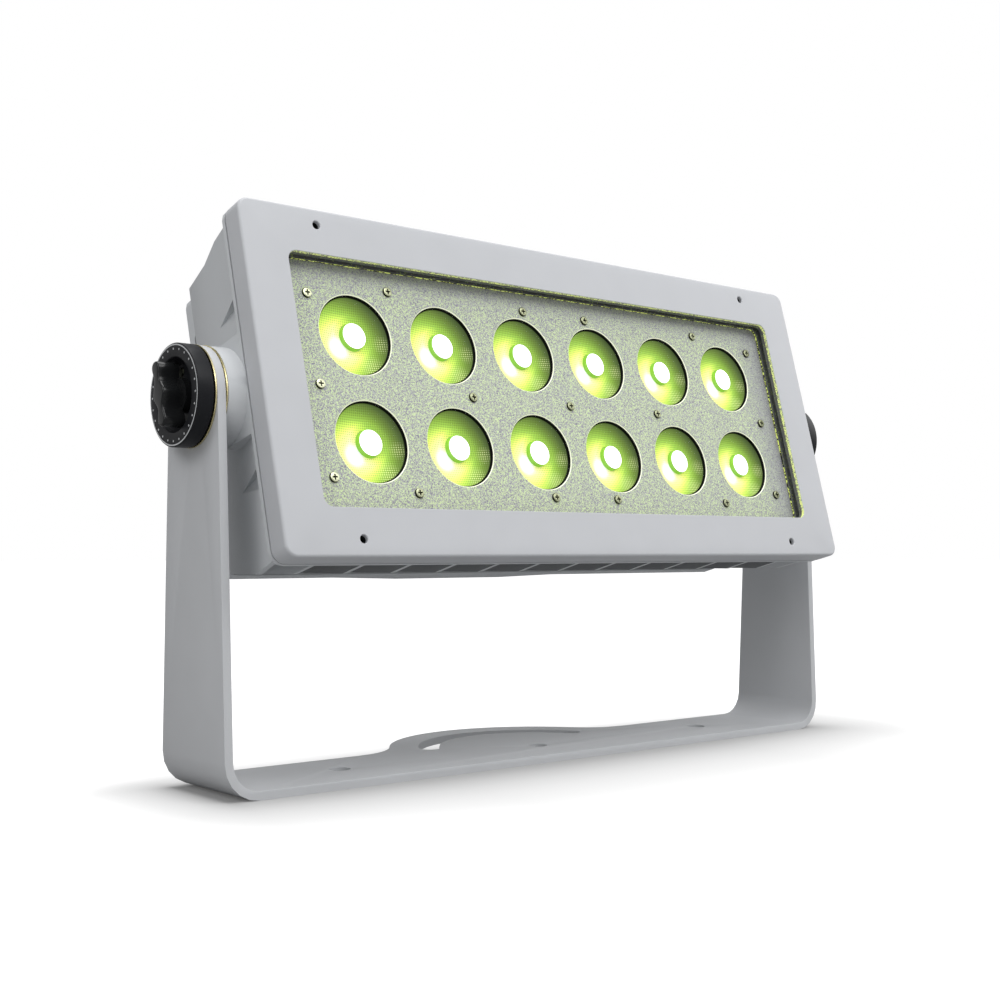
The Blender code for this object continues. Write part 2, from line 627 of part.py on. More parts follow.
def make_housing(head):
    """The cast heat sink: core, fins, side walls, flange, pivot bosses and screw bosses."""
    overlap = FLANGE / 2
    start_y = FLANGE_BACK_Y - overlap
    tall = FACE_Z + CORE_WALL
    plan = extruded("plan", [plan_outline(start_y, HOUSING_BACK_Y, 0)], "z", -tall, tall)
    housing = piece("heat_sink_housing", plan, COATED_ALLOY, head)
    side = extruded("side", [side_outline(HOUSING_DEPTH)], "x", -2 * FACE_X, 2 * FACE_X)
    shape_with(housing, side, "INTERSECT")
    shape_with(housing, channel_cutter(), "DIFFERENCE")

    flange = extruded(
        "flange", [rounded_rectangle(FACE_X, FACE_Z, BEZEL_CORNER)], "y", FLANGE_Y, FLANGE_BACK_Y
    )
    shape_with(housing, flange, "UNION")
    for side_sign, facing in ((-1, FACING_LEFT), (1, FACING_RIGHT)):
        low, high = sorted((side_sign * (wall_x(0) - CORE_WALL), side_sign * FACE_X))
        pad = box("pad", (low, high), (start_y, 0), (-PAD_HALF_HEIGHT, PAD_HALF_HEIGHT))
        shape_with(housing, pad, "UNION")
        boss = rod("boss", BOSS_RADIUS, wall_x(0) - CORE_WALL - GAP, BOSS_FACE_X, facing, steps=32)
        shape_with(housing, boss, "UNION")

    rear_outline = plan_outline(SPREADER_BACK_Y, HOUSING_BACK_Y + FLANGE, CORE_WALL)
    rear_cavity = extruded("rear_cavity", [rear_outline], "z", -CAVITY_Z, CAVITY_Z)
    shape_with(housing, rear_cavity, "DIFFERENCE")
    front_outline = rounded_rectangle(CAVITY_X, CAVITY_Z, WINDOW_CORNER)
    front_cavity = extruded("front_cavity", [front_outline], "y", FLANGE_Y - FLANGE, SPREADER_Y)
    shape_with(housing, front_cavity, "DIFFERENCE")

    inner_start = wall_x(0) - CORE_WALL - INNER_BOSS_LENGTH
    inner_end = BOSS_FACE_X - BOSS_RADIUS / 2
    for facing in (FACING_LEFT, FACING_RIGHT):
        inner = rod("inner_boss", INNER_BOSS_RADIUS, inner_start, inner_end, facing, steps=20)
        shape_with(housing, inner, "UNION")
    corner_spots = mirrored([(COVER_SCREW_X, COVER_SCREW_RISE)])
    root_y = SPREADER_Y + HEAT_SPREADER / 2
    tip_y = HOUSING_BACK_Y - GAP
    corner_bosses = posts("corner_bosses", COVER_BOSS_RADIUS, corner_spots, root_y, tip_y, 10)
    shape_with(housing, corner_bosses, "UNION")
    standoffs = posts("standoffs", STANDOFF_RADIUS, plate_screw_places(), RIM_Y, root_y)
    shape_with(housing, standoffs, "UNION")

    shape_with(housing, pocket_cutter(), "DIFFERENCE")
    bore = rod("bore", STUD_HOLE_RADIUS, -2 * FACE_X, 2 * FACE_X, FACING_RIGHT, steps=16)
    shape_with(housing, bore, "DIFFERENCE")
    head_base = FLANGE_BACK_Y - FLANGE / 2
    head_top = FLANGE_BACK_Y + SCREW_HEAD
    screw_heads = posts("screw_heads", SCREW_HEAD_RADIUS, channel_screw_places(), head_base, head_top)
    shape_with(housing, screw_heads, "UNION")
    through_flange = (FLANGE_Y - FLANGE, FLANGE_BACK_Y + FLANGE)
    into_bosses = (HOUSING_BACK_Y - COVER_DEPTH, HOUSING_BACK_Y + FLANGE)
    drills = [
        holes("drill", SCREW_HOLE_RADIUS, pocket_screw_places(), *through_flange, 6),
        holes("drill", SCREW_HOLE_RADIUS, corner_spots, *into_bosses, 6),
    ]
    shape_with(housing, gathered("drills", drills), "DIFFERENCE")


def make_bezel(head):
    """The front frame, its screws, and the seal between it and the housing's flange."""
    frame = extruded("frame", [rounded_rectangle(FACE_X, FACE_Z, BEZEL_CORNER)], "y", FACE_Y, BEZEL_BACK_Y)
    round_edges(frame, lambda co: co.y < FACE_Y + GAP, BEZEL_EDGE, 3)
    bezel = piece("front_bezel", frame, BEZEL_PAINT, head)
    far = BEZEL_BACK_Y + BEZEL_LIP
    window = extruded(
        "window", [rounded_rectangle(WINDOW_X, WINDOW_Z, WINDOW_CORNER)], "y", FACE_Y - BEZEL_LIP, far
    )
    shape_with(bezel, window, "DIFFERENCE")
    recess = extruded("recess", [rounded_rectangle(RECESS_X, RECESS_Z, WINDOW_CORNER)], "y", LIP_Y, far)
    shape_with(bezel, recess, "DIFFERENCE")
    face_holes = mirrored([(FACE_X - FACE_HOLE_SIDE_INSET, FACE_Z - FACE_HOLE_TOP_INSET)])
    drills = [
        holes("drill", FACE_HOLE_RADIUS, face_holes, FACE_Y - BEZEL_LIP, far, 12),
        holes("drill", SCREW_HOLE_RADIUS, pocket_screw_places(), BEZEL_BACK_Y - BEZEL_SCREW_DEPTH, far, 6),
    ]
    shape_with(bezel, gathered("drills", drills), "DIFFERENCE")

    reach = FLANGE_BACK_Y - BEZEL_BACK_Y + BEZEL_SCREW_DEPTH - GAP
    screw = screw_mesh(SCREW_HEAD_RADIUS, SCREW_HEAD, reach, FACING_REAR)
    screws("bezel_screw", screw, pocket_screw_places(), FLANGE_BACK_Y, head)

    seal_outlines = [
        rounded_rectangle(FACE_X - SEAL_INSET, FACE_Z - SEAL_INSET, BEZEL_CORNER - SEAL_INSET),
        rounded_rectangle(RECESS_X + SEAL_INSET, RECESS_Z + SEAL_INSET, WINDOW_CORNER + SEAL_INSET),
    ]
    seal_outlines += [circle(place, SCREW_HOLE_RADIUS, 6) for place in pocket_screw_places()]
    piece("flange_seal", extruded("seal", seal_outlines, "y", SEAL_Y, SEAL_Y + SEAL), BLACK_RUBBER, head)


def make_glass(head):
    """The window glass and the rubber channel that holds its edge."""
    gasket_outlines = [
        rounded_rectangle(RECESS_X - GAP, RECESS_Z - GAP, WINDOW_CORNER - GAP),
        rounded_rectangle(WINDOW_X, WINDOW_Z, WINDOW_CORNER),
    ]
    strip = extruded("strip", gasket_outlines, "y", GASKET_Y, GASKET_BACK_Y)
    gasket = piece("glass_gasket", strip, BLACK_RUBBER, head)
    glass_x = WINDOW_X + GLASS_BITE
    glass_z = WINDOW_Z + GLASS_BITE
    channel = extruded(
        "channel",
        [rounded_rectangle(glass_x + GAP, glass_z + GAP, WINDOW_CORNER + GAP)],
        "y",
        CHANNEL_Y,
        CHANNEL_Y + GASKET_CHANNEL,
    )
    shape_with(gasket, channel, "DIFFERENCE")
    pane_outline = rounded_rectangle(glass_x, glass_z, WINDOW_CORNER)
    pane = extruded("pane", [pane_outline], "y", GLASS_Y, GLASS_Y + GLASS)
    piece("front_glass", pane, CLEAR_GLASS, head)


def make_plate(head):
    """The plate with an opening for each light and the heads of its seventeen screws."""
    outlines = [rounded_rectangle(RECESS_X - GAP, RECESS_Z - GAP, WINDOW_CORNER)]
    outlines += [circle(place, OPENING_RADIUS, 24) for place in light_places()]
    sheet = extruded("plate", outlines, "y", PLATE_Y, PLATE_BACK_Y)
    plate = piece("aperture_plate", sheet, SPECKLED_PLATE, head)
    head_top = PLATE_Y - SCREW_HEAD
    screw_heads = posts("screw_heads", SCREW_HEAD_RADIUS, plate_screw_places(), head_top, PLATE_Y + PLATE / 2)
    shape_with(plate, screw_heads, "UNION")


def make_lights(head):
    """The circuit board with its twelve round emitters, and a dished reflector round each."""
    board_x = CAVITY_X - STANDOFF_RADIUS
    board_z = LAST_ROW + OPENING_RADIUS + PLATE_SCREW_EDGE - STANDOFF_RADIUS - 2 * GAP
    passing = [
        circle((x, z), STANDOFF_RADIUS + 3 * GAP, 8)
        for x, z in plate_screw_places()
        if abs(x) < LAST_COLUMN and abs(z) < LAST_ROW
    ]
    outlines = [rounded_rectangle(board_x, board_z, GAP)] + passing
    board = extruded("board", outlines, "y", BOARD_Y, BOARD_Y + LED_BOARD)
    board = piece("led_board", board, CIRCUIT_BOARD, head)

    inner = EMITTER_RADIUS + 2 * GAP
    dish = [
        (REFLECTOR_RADIUS, 0),
        (REFLECTOR_RADIUS, -REFLECTOR_DEPTH),
        (inner, -REFLECTOR_DEPTH),
        (inner, -DISH_DEPTH),
    ]
    share = 0.7  # of the rim's radius, where the dish's curve has its one point between
    dish.append((REFLECTOR_RADIUS * share, -DISH_DEPTH * (1 - share**2)))
    reflector = turned("reflector", dish, 20, ring=True)
    for number, (x, z) in enumerate(light_places(), start=1):
        piece(f"reflector_{number:02d}", placed(reflector, FACING_FRONT), REFLECTOR_COAT, head, (x, RIM_Y, z))
    face_y = RIM_Y - EMITTER_PROUD
    emitters = posts("emitters", EMITTER_RADIUS, light_places(), face_y, BOARD_Y + LED_BOARD / 2, 14)
    shape_with(board, emitters, "UNION")


def connector_mesh():
    """A round panel connector that looks to the rear, its flange on the origin plane."""
    barrel = COVER_DEPTH
    return turned(
        "connector",
        [
            (0, CONNECTOR_FLANGE_RADIUS - CONNECTOR_RADIUS),
            (SOCKET_RADIUS, CONNECTOR_FLANGE_RADIUS - CONNECTOR_RADIUS),
            (SOCKET_RADIUS, barrel),
            (CONNECTOR_RADIUS, barrel),
            (CONNECTOR_RADIUS, COVER_WALL),
            (CONNECTOR_FLANGE_RADIUS, COVER_WALL),
            (CONNECTOR_FLANGE_RADIUS, GAP),
            (CONNECTOR_RADIUS, GAP),
            (CONNECTOR_RADIUS, -barrel),
            (0, -barrel),
        ],
        12,
    )


def make_rear_cover(head):
    """The tray that closes the housing, its gasket, its screws, the connectors and the safety eye."""
    land = wall_x(HOUSING_BACK_Y)
    gasket_outlines = [
        rounded_rectangle(land - GAP, CORE_Z - GAP, CORE_WALL),
        rounded_rectangle(land - CORE_WALL, CAVITY_Z, GAP),
    ]
    ring = extruded("ring", gasket_outlines, "y", REAR_GASKET_Y, REAR_GASKET_Y + REAR_GASKET)
    piece("rear_gasket", ring, BLACK_RUBBER, head)

    tray = extruded("tray", [rounded_rectangle(COVER_X, COVER_Z, COVER_CORNER)], "y", COVER_Y, COVER_BACK_Y)
    round_edges(tray, lambda co: co.y > COVER_BACK_Y - GAP, COVER_EDGE, 2)
    cover = piece("rear_cover", tray, COATED_ALLOY, head)
    inner_y = COVER_BACK_Y - COVER_WALL
    outline = rounded_rectangle(COVER_X - COVER_WALL, COVER_Z - COVER_WALL, COVER_CORNER - COVER_WALL)
    shape_with(cover, extruded("hollow", [outline], "y", COVER_Y - COVER_WALL, inner_y), "DIFFERENCE")
    cover_spots = mirrored([(COVER_SCREW_X, COVER_SCREW_RISE)])
    bolt_spots = mirrored([(DRIVER_BOLT_X, DRIVER_BOLT_Z)])
    bosses = posts("bosses", COVER_BOSS_RADIUS, cover_spots, COVER_Y, inner_y + COVER_WALL / 2)
    shape_with(cover, bosses, "UNION")
    pillars = posts("pillars", DRIVER_BOSS_RADIUS, bolt_spots, COVER_Y, inner_y + COVER_WALL / 2)
    shape_with(cover, pillars, "UNION")
    connector_spots = mirrored([(CONNECTOR_X, CONNECTOR_Z)])
    start = COVER_Y - COVER_DEPTH
    stop = COVER_BACK_Y + COVER_DEPTH
    eye_feet = [(-CONNECTOR_X, EYE_RADIUS), (-CONNECTOR_X, -EYE_RADIUS)]
    cuts = [
        holes("drill", SCREW_HOLE_RADIUS, cover_spots + bolt_spots, start, stop, 6),
        holes("drill", CONNECTOR_RADIUS + HOLE_CLEARANCE, connector_spots, start, stop, 12),
        holes("drill", WIRE_HOLE_RADIUS, [(0, 0)], start, stop, 12),
        holes("drill", EYE_WIRE_RADIUS + HOLE_CLEARANCE, eye_feet, start, stop, 8),
    ]
    shape_with(cover, gathered("drills", cuts), "DIFFERENCE")

    reach = COVER_BACK_Y - HOUSING_BACK_Y + COVER_WALL
    screw = screw_mesh(SCREW_HEAD_RADIUS, SCREW_HEAD, reach, FACING_REAR)
    screws("rear_cover_screw", screw, cover_spots, COVER_BACK_Y, head)

    connector = placed(connector_mesh(), FACING_REAR)
    spots = {
        "power_inlet": (CONNECTOR_X, -CONNECTOR_Z),
        "power_outlet": (CONNECTOR_X, CONNECTOR_Z),
        "data_inlet": (-CONNECTOR_X, -CONNECTOR_Z),
        "data_outlet": (-CONNECTOR_X, CONNECTOR_Z),
    }
    for name, (x, z) in spots.items():
        piece(name, connector.copy(), BLACK_PLASTIC, head, (x, COVER_BACK_Y, z))

    foot = -COVER_WALL / 2
    curve = [(EYE_LIFT + y, z) for z, y in arc((0, 0), EYE_RADIUS, math.pi, 0, 10)]
    loop = [(0, y, z) for y, z in [(foot, -EYE_RADIUS)] + curve + [(foot, EYE_RADIUS)]]
    piece("safety_eye", tube("eye", loop, EYE_WIRE_RADIUS), STEEL, head, (-CONNECTOR_X, COVER_BACK_Y, 0))


def driver_outline(inset):
    """A box with slightly crowned top and bottom and round corners, moved in by the inset."""
    half = DRIVER_HALF_WIDTH - inset
    end = DRIVER_END_HALF_HEIGHT - inset
    radius = DRIVER_CORNER - inset
    chord = half - radius
    crown_radius = (chord**2 + DRIVER_CROWN**2) / (2 * DRIVER_CROWN)
    sweep = math.asin(chord / crown_radius)
    middle = end + DRIVER_CROWN - crown_radius
    upright = math.pi / 2
    points = arc((half - radius, end - radius), radius, 0, upright, 3)[:-1]
    points += arc((0, middle), crown_radius, upright - sweep, upright + sweep, 6)
    points += arc((radius - half, end - radius), radius, upright, 2 * upright, 3)[1:]
    return points + [(-x, -z) for x, z in points]


def button_places():
    return [((n - 1.5) * BUTTON_PITCH, CONTROL_RISE - BUTTON_DROP) for n in range(4)]


def make_driver(head):
    """The box on the back: power module, control board, display, buttons and vent."""
    shell = extruded("shell", [driver_outline(0)], "y", DRIVER_Y, DRIVER_BACK_Y)
    round_edges(shell, lambda co: co.y > DRIVER_BACK_Y - GAP, DRIVER_EDGE, 2)
    driver = piece("driver_housing", shell, COATED_ALLOY, head)
    hollow = extruded("hollow", [driver_outline(DRIVER_WALL)], "y", DRIVER_Y - DRIVER_WALL, DRIVER_WALL_Y)
    shape_with(driver, hollow, "DIFFERENCE")
    bolt_spots = mirrored([(DRIVER_BOLT_X, DRIVER_BOLT_Z)])
    root_y = DRIVER_WALL_Y + DRIVER_WALL / 2
    columns = posts("columns", DRIVER_BOSS_RADIUS, bolt_spots, DRIVER_Y + GAP, root_y)
    shape_with(driver, columns, "UNION")
    board_y = DRIVER_WALL_Y - 2 * GAP - BUTTON_RIM - BUTTON_TRAVEL
    rest_x = CONTROL_BOARD_SIZE[0] / 2 - DRIVER_BOSS_RADIUS
    rest_z = CONTROL_BOARD_SIZE[1] / 2 - DRIVER_BOSS_RADIUS
    rests = [(x, CONTROL_RISE + z - DISPLAY_RISE / 2) for x, z in mirrored([(rest_x, rest_z)])]
    feet = posts("feet", STANDOFF_RADIUS, rests, board_y + GAP, root_y)
    shape_with(driver, feet, "UNION")

    display_z = CONTROL_RISE + DISPLAY_RISE
    sight = rounded_rectangle(DISPLAY_SIZE[0] / 2, DISPLAY_SIZE[1] / 2, DISPLAY_LEDGE)
    sight = [(x, z + display_z) for x, z in sight]
    edge = DISPLAY_LEDGE + HOLE_CLEARANCE
    seat = [(x * (1 + 2 * edge / DISPLAY_SIZE[0]), z) for x, z in sight]
    seat = [(x, display_z + (z - display_z) * (1 + 2 * edge / DISPLAY_SIZE[1])) for x, z in seat]
    start = DRIVER_WALL_Y - DRIVER_WALL
    stop = DRIVER_BACK_Y + DRIVER_WALL
    head_y = DRIVER_BACK_Y - DRIVER_BOLT_HEAD
    cuts = [
        holes("bolt_holes", SCREW_HOLE_RADIUS, bolt_spots, DRIVER_Y - DRIVER_WALL, head_y - GAP, 6),
        holes("bolt_heads", DRIVER_BOLT_HEAD_RADIUS + HOLE_CLEARANCE, bolt_spots, head_y - 2 * GAP, stop),
        holes("button_holes", BUTTON_RADIUS + HOLE_CLEARANCE, button_places(), start, stop, 12),
        holes("vent_hole", STUD_HOLE_RADIUS, [(VENT_X, -VENT_Z)], start, stop, 12),
        extruded("sight", [sight], "y", start, stop),
    ]
    for cut in cuts:
        shape_with(driver, cut, "DIFFERENCE")
    shape_with(driver, extruded("seat", [seat], "y", DRIVER_BACK_Y - DISPLAY - GAP, stop), "DIFFERENCE")
    pane = [(x * (1 + 2 * DISPLAY_LEDGE / DISPLAY_SIZE[0]), z) for x, z in sight]
    pane = [(x, display_z + (z - display_z) * (1 + 2 * DISPLAY_LEDGE / DISPLAY_SIZE[1])) for x, z in pane]
    pane = extruded("pane", [pane], "y", DRIVER_BACK_Y - DISPLAY, DRIVER_BACK_Y)
    piece("display_window", pane, DARK_LENS, head)

    length = DRIVER_DEPTH + COVER_WALL
    bolt = screw_mesh(DRIVER_BOLT_HEAD_RADIUS, DRIVER_BOLT_HEAD - GAP, length, FACING_REAR)
    screws("driver_housing_bolt", bolt, bolt_spots, head_y, head)

    width, depth, height = MODULE_SIZE
    module = box(
        "module", (-width / 2, width / 2), (DRIVER_Y, DRIVER_Y + depth), (-height / 2, height / 2)
    )
    piece("driver_module", module, MODULE_CASE, head)
    board_x = CONTROL_BOARD_SIZE[0] / 2
    board_z = CONTROL_BOARD_SIZE[1] / 2
    middle = CONTROL_RISE - DISPLAY_RISE / 2
    upright = (middle - board_z, middle + board_z)
    board = box("board", (-board_x, board_x), (board_y - CONTROL_BOARD, board_y), upright)
    piece("control_board", board, GREEN_BOARD, head)

    cap = DRIVER_WALL + GAP + BUTTON_PROUD
    button = turned(
        "button",
        [
            (0, cap),
            (BUTTON_RADIUS - BUTTON_RIM, cap),
            (BUTTON_RADIUS, cap - BUTTON_RIM),
            (BUTTON_RADIUS, 0),
            (BUTTON_RADIUS + 2 * BUTTON_RIM, 0),
            (BUTTON_RADIUS + 2 * BUTTON_RIM, -BUTTON_RIM),
            (0, -BUTTON_RIM),
        ],
        12,
    )
    button = placed(button, FACING_REAR)
    for name, (x, z) in zip(("menu_button", "up_button", "down_button", "enter_button"), button_places()):
        piece(name, button.copy(), BLACK_PLASTIC, head, (x, DRIVER_WALL_Y - GAP, z))

    vent = turned(
        "vent",
        [
            (0, COVER_WALL + GAP),
            (VENT_RADIUS - DIAL_EDGE, COVER_WALL + GAP),
            (VENT_RADIUS, COVER_WALL + GAP - DIAL_EDGE),
            (VENT_RADIUS, GAP),
            (STUD_RADIUS, GAP),
            (STUD_RADIUS, -2 * DRIVER_WALL),
            (0, -2 * DRIVER_WALL),
        ],
        12,
    )
    piece("vent_plug", placed(vent, FACING_REAR), BLACK_PLASTIC, head, (VENT_X, DRIVER_BACK_Y, -VENT_Z))


def knob_outline():
    """The wing of the knob seen from its end: a wide middle, two hollows and two end lobes."""
    hollow = KNOB_HALF_LENGTH * KNOB_HOLLOW_SHARE

    def half_width(along):
        if abs(along) < hollow:
            nearness = (1 + math.cos(math.pi * along / hollow)) / 2
            return KNOB_HOLLOW + (KNOB_MIDDLE - KNOB_HOLLOW) * nearness
        nearness = (1 - math.cos(math.pi * (abs(along) - hollow) / (KNOB_HALF_LENGTH - hollow))) / 2
        return KNOB_HOLLOW + (KNOB_LOBE - KNOB_HOLLOW) * nearness

    stations = [KNOB_HALF_LENGTH * n / 8 for n in range(-8, 9)]
    front = [(-half_width(s), s) for s in stations]
    top = arc((0, KNOB_HALF_LENGTH), KNOB_LOBE, math.pi, 0, 6)[1:-1]
    back = [(half_width(s), s) for s in reversed(stations)]
    bottom = arc((0, -KNOB_HALF_LENGTH), KNOB_LOBE, 0, -math.pi, 6)[1:-1]
    return front + top + back + bottom


def make_tilt_lock(side, sign, facing, head, yoke):
    """One side's pivot: stud, friction shims, dial and wing knob, from the head outwards."""
    inner = wall_x(0) - CORE_WALL - INNER_BOSS_LENGTH
    stud = [
        (0, STUD_END_X),
        (STUD_TIP_RADIUS, STUD_END_X),
        (STUD_TIP_RADIUS, STUD_SHOULDER_X),
        (STUD_RADIUS, STUD_SHOULDER_X),
        (STUD_RADIUS, inner - GAP),
        (STUD_HEAD_RADIUS, inner - GAP),
        (STUD_HEAD_RADIUS, inner - GAP - STUD_HEAD),
        (0, inner - GAP - STUD_HEAD),
    ]
    piece(f"{side}_pivot_stud", placed(turned("stud", stud, 16), facing), STEEL, head)

    def washer(start):
        profile = [
            (BOSS_RADIUS, start + SHIM),
            (BOSS_RADIUS, start),
            (STUD_HOLE_RADIUS, start),
            (STUD_HOLE_RADIUS, start + SHIM),
        ]
        return placed(turned("shim", profile, 24, ring=True), facing)

    at_pivot = (0, 0, PIVOT_HEIGHT)
    piece(f"{side}_inner_shim", washer(ARM_INSIDE - GAP - SHIM), BRASS, yoke, at_pivot)
    piece(f"{side}_outer_shim", washer(ARM_OUTSIDE + GAP), BRASS, yoke, at_pivot)

    floor = DIAL_X + DIAL_FLOOR
    dial = [
        (BOWL_RADIUS, DIAL_FACE_X),
        (DIAL_RADIUS - DIAL_EDGE, DIAL_FACE_X),
        (DIAL_RADIUS, DIAL_FACE_X - DIAL_EDGE),
        (DIAL_RADIUS, DIAL_X),
        (STUD_HOLE_RADIUS, DIAL_X),
        (STUD_HOLE_RADIUS, floor),
        (BOWL_FLOOR_RADIUS, floor),
        (BOWL_RADIUS - DIAL_EDGE, floor + (DIAL_THICKNESS - DIAL_FLOOR) / 2),
    ]
    piece(f"{side}_tilt_dial", placed(turned("dial", dial, 28, ring=True), facing), BLACK_PLASTIC, head)

    low, high = sorted((sign * (KNOB_X + KNOB_HUB - KNOB_EDGE), sign * KNOB_END_X))
    wing = extruded("wing", [knob_outline()], "x", low, high)
    round_edges(wing, lambda co: abs(co.x) > KNOB_END_X - GAP, KNOB_EDGE, 2)
    knob = piece(f"{side}_lock_knob", wing, BLACK_PLASTIC, head)
    hub = rod("hub", KNOB_HUB_RADIUS, KNOB_X, KNOB_X + KNOB_HUB, facing, steps=20)
    shape_with(knob, hub, "UNION")
    hole_radius = STUD_TIP_RADIUS + HOLE_CLEARANCE
    hole = rod("hole", hole_radius, KNOB_X - KNOB_HUB, STUD_END_X + GAP, facing, steps=12)
    shape_with(knob, hole, "DIFFERENCE")


def yoke_section():
    """The bent plate seen from the front, its arms drawn longer than they are."""
    outer = BEND_RADIUS + YOKE_PLATE
    tall = PIVOT_HEIGHT + 2 * ARM_TOP_RADIUS
    quarter = math.pi / 2
    bends = (ARM_OUTSIDE - outer, outer)
    outside = [(ARM_OUTSIDE, tall)]
    outside += arc(bends, outer, 0, -quarter, 5)
    outside += arc((-bends[0], outer), outer, -quarter, -2 * quarter, 5)
    outside.append((-ARM_OUTSIDE, tall))
    inside = [(-ARM_INSIDE, tall)]
    inside += arc((-bends[0], outer), BEND_RADIUS, -2 * quarter, -quarter, 5)
    inside += arc(bends, BEND_RADIUS, -quarter, 0, 5)
    inside.append((ARM_INSIDE, tall))
    return outside + inside


def arm_outline():
    """The yoke seen from the side: straight edges that run into the round top of the arm."""
    reach = math.hypot(BASE_HALF_DEPTH, PIVOT_HEIGHT)
    foot_angle = math.atan2(-PIVOT_HEIGHT, BASE_HALF_DEPTH)
    tangent = foot_angle + math.acos(ARM_TOP_RADIUS / reach)
    top = arc((0, PIVOT_HEIGHT), ARM_TOP_RADIUS, tangent, math.pi - tangent, 14)
    slope = (top[0][0] - BASE_HALF_DEPTH) / top[0][1]
    below = -BEND_RADIUS
    foot = BASE_HALF_DEPTH + slope * below
    return [(foot, below)] + top + [(-foot, below)]


def bulge_outline():
    """The back of the base seen from above: a round bulge that runs into the straight edge."""
    across = BASE_HALF_DEPTH + BULGE_FILLET
    away = math.sqrt((BULGE_RADIUS + BULGE_FILLET) ** 2 - across**2)
    meet = math.atan2(across, away)
    right = arc((away, across), BULGE_FILLET, -math.pi / 2, meet - math.pi, 6)
    back = arc((0, 0), BULGE_RADIUS, meet, math.pi - meet, 18)[1:-1]
    left = [(-x, y) for x, y in reversed(right)]
    inside = BASE_HALF_DEPTH - YOKE_PLATE
    return right + back + left + [(-away, inside), (away, inside)]


def slot_outline():
    """The arc slot behind the middle hole, with round ends."""
    middle = SLOT_INNER_RADIUS + SLOT_WIDTH / 2
    start = math.pi / 2 - SLOT_HALF_ANGLE
    stop = math.pi / 2 + SLOT_HALF_ANGLE
    outer = arc((0, 0), SLOT_INNER_RADIUS + SLOT_WIDTH, start, stop, 16)
    left_end = (middle * math.cos(stop), middle * math.sin(stop))
    right_end = (middle * math.cos(start), middle * math.sin(start))
    inner = arc((0, 0), SLOT_INNER_RADIUS, stop, start, 16)
    left = arc(left_end, SLOT_WIDTH / 2, stop, stop + math.pi, 6)[1:-1]
    right = arc(right_end, SLOT_WIDTH / 2, start + math.pi, start + 2 * math.pi, 6)[1:-1]
    return outer + left + inner + right


def make_yoke(yoke):
    """The bent steel bracket with its bolt holes, slot and pivot holes."""
    deep = BULGE_RADIUS + BASE_HALF_DEPTH
    bent = extruded("bent_plate", [yoke_section()], "y", -deep, deep)
    bracket = piece("yoke_bracket", bent, COATED_STEEL, yoke)
    arms = extruded("arms", [arm_outline()], "x", -ARM_OUTSIDE - BEND_RADIUS, ARM_OUTSIDE + BEND_RADIUS)
    bulge = extruded("bulge", [bulge_outline()], "z", -YOKE_PLATE, 2 * YOKE_PLATE)
    mask = piece("yoke_mask", arms, COATED_STEEL, yoke)
    PIECES.objects.unlink(mask)
    CUTTERS.objects.link(mask)
    mask.display_type = "WIRE"
    mask.hide_render = True
    shape_with(mask, bulge, "UNION")
    boolean = bracket.modifiers.new("yoke_mask", "BOOLEAN")
    boolean.operation = "INTERSECT"
    boolean.solver = "EXACT"
    boolean.object = mask
    cuts = [
        rod("hole", BASE_HOLE_RADIUS, -YOKE_PLATE, 2 * YOKE_PLATE, Matrix.Identity(4), (x, 0, 0), 16)
        for x in (-SIDE_HOLE_X, 0, SIDE_HOLE_X)
    ]
    cuts.append(extruded("slot", [slot_outline()], "z", -YOKE_PLATE, 2 * YOKE_PLATE))
    cuts.append(
        rod("pivot", STUD_HOLE_RADIUS, -2 * FACE_X, 2 * FACE_X, FACING_RIGHT, (0, 0, PIVOT_HEIGHT), 16)
    )
    shape_with(bracket, gathered("holes", cuts), "DIFFERENCE")


def main():
    yoke = empty("yoke_centre", (0, PIVOT_Y, 0))
    head = empty("head_tilt_axis", (0, 0, PIVOT_HEIGHT), -TILT, yoke)
    make_yoke(yoke)
    make_housing(head)
    make_bezel(head)
    make_glass(head)
    make_plate(head)
    make_lights(head)
    make_rear_cover(head)
    make_driver(head)
    make_tilt_lock("left", -1, FACING_LEFT, head, yoke)
    make_tilt_lock("right", 1, FACING_RIGHT, head, yoke)


main()
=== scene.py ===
"""The LED light panel dressed as in its photograph, on a white studio floor.

Lengths are in metres. Pieces of the head are drawn in the head's own axes, which turn about the
tilt axis: there the face looks straight along -Y and the origin is on that axis. Pieces of the yoke
are drawn in the frame's axes.
"""

import json
import math

import bmesh
import bpy
from mathutils import Matrix, Vector


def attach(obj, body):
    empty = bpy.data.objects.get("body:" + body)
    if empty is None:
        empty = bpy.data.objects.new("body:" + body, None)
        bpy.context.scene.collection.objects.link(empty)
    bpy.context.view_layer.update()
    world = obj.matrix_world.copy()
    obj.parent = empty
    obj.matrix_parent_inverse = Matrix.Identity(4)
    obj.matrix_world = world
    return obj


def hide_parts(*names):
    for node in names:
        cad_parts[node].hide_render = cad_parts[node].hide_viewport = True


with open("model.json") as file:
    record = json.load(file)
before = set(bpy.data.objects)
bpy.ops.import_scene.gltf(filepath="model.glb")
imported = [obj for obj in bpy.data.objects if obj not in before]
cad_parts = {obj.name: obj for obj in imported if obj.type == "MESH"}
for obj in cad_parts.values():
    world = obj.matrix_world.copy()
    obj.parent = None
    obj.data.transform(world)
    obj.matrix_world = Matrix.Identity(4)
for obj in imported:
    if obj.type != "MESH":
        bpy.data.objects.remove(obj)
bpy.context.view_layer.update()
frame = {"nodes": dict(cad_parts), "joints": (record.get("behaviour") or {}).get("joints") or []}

# Camera
# A 50 mm lens stands low before the lamp's left side; shifting it up keeps the yoke's arms upright
camera_data = bpy.data.cameras.new("photo_camera")
camera_data.lens = 50
camera_data.sensor_width = 36
camera_data.shift_y = 0.0498
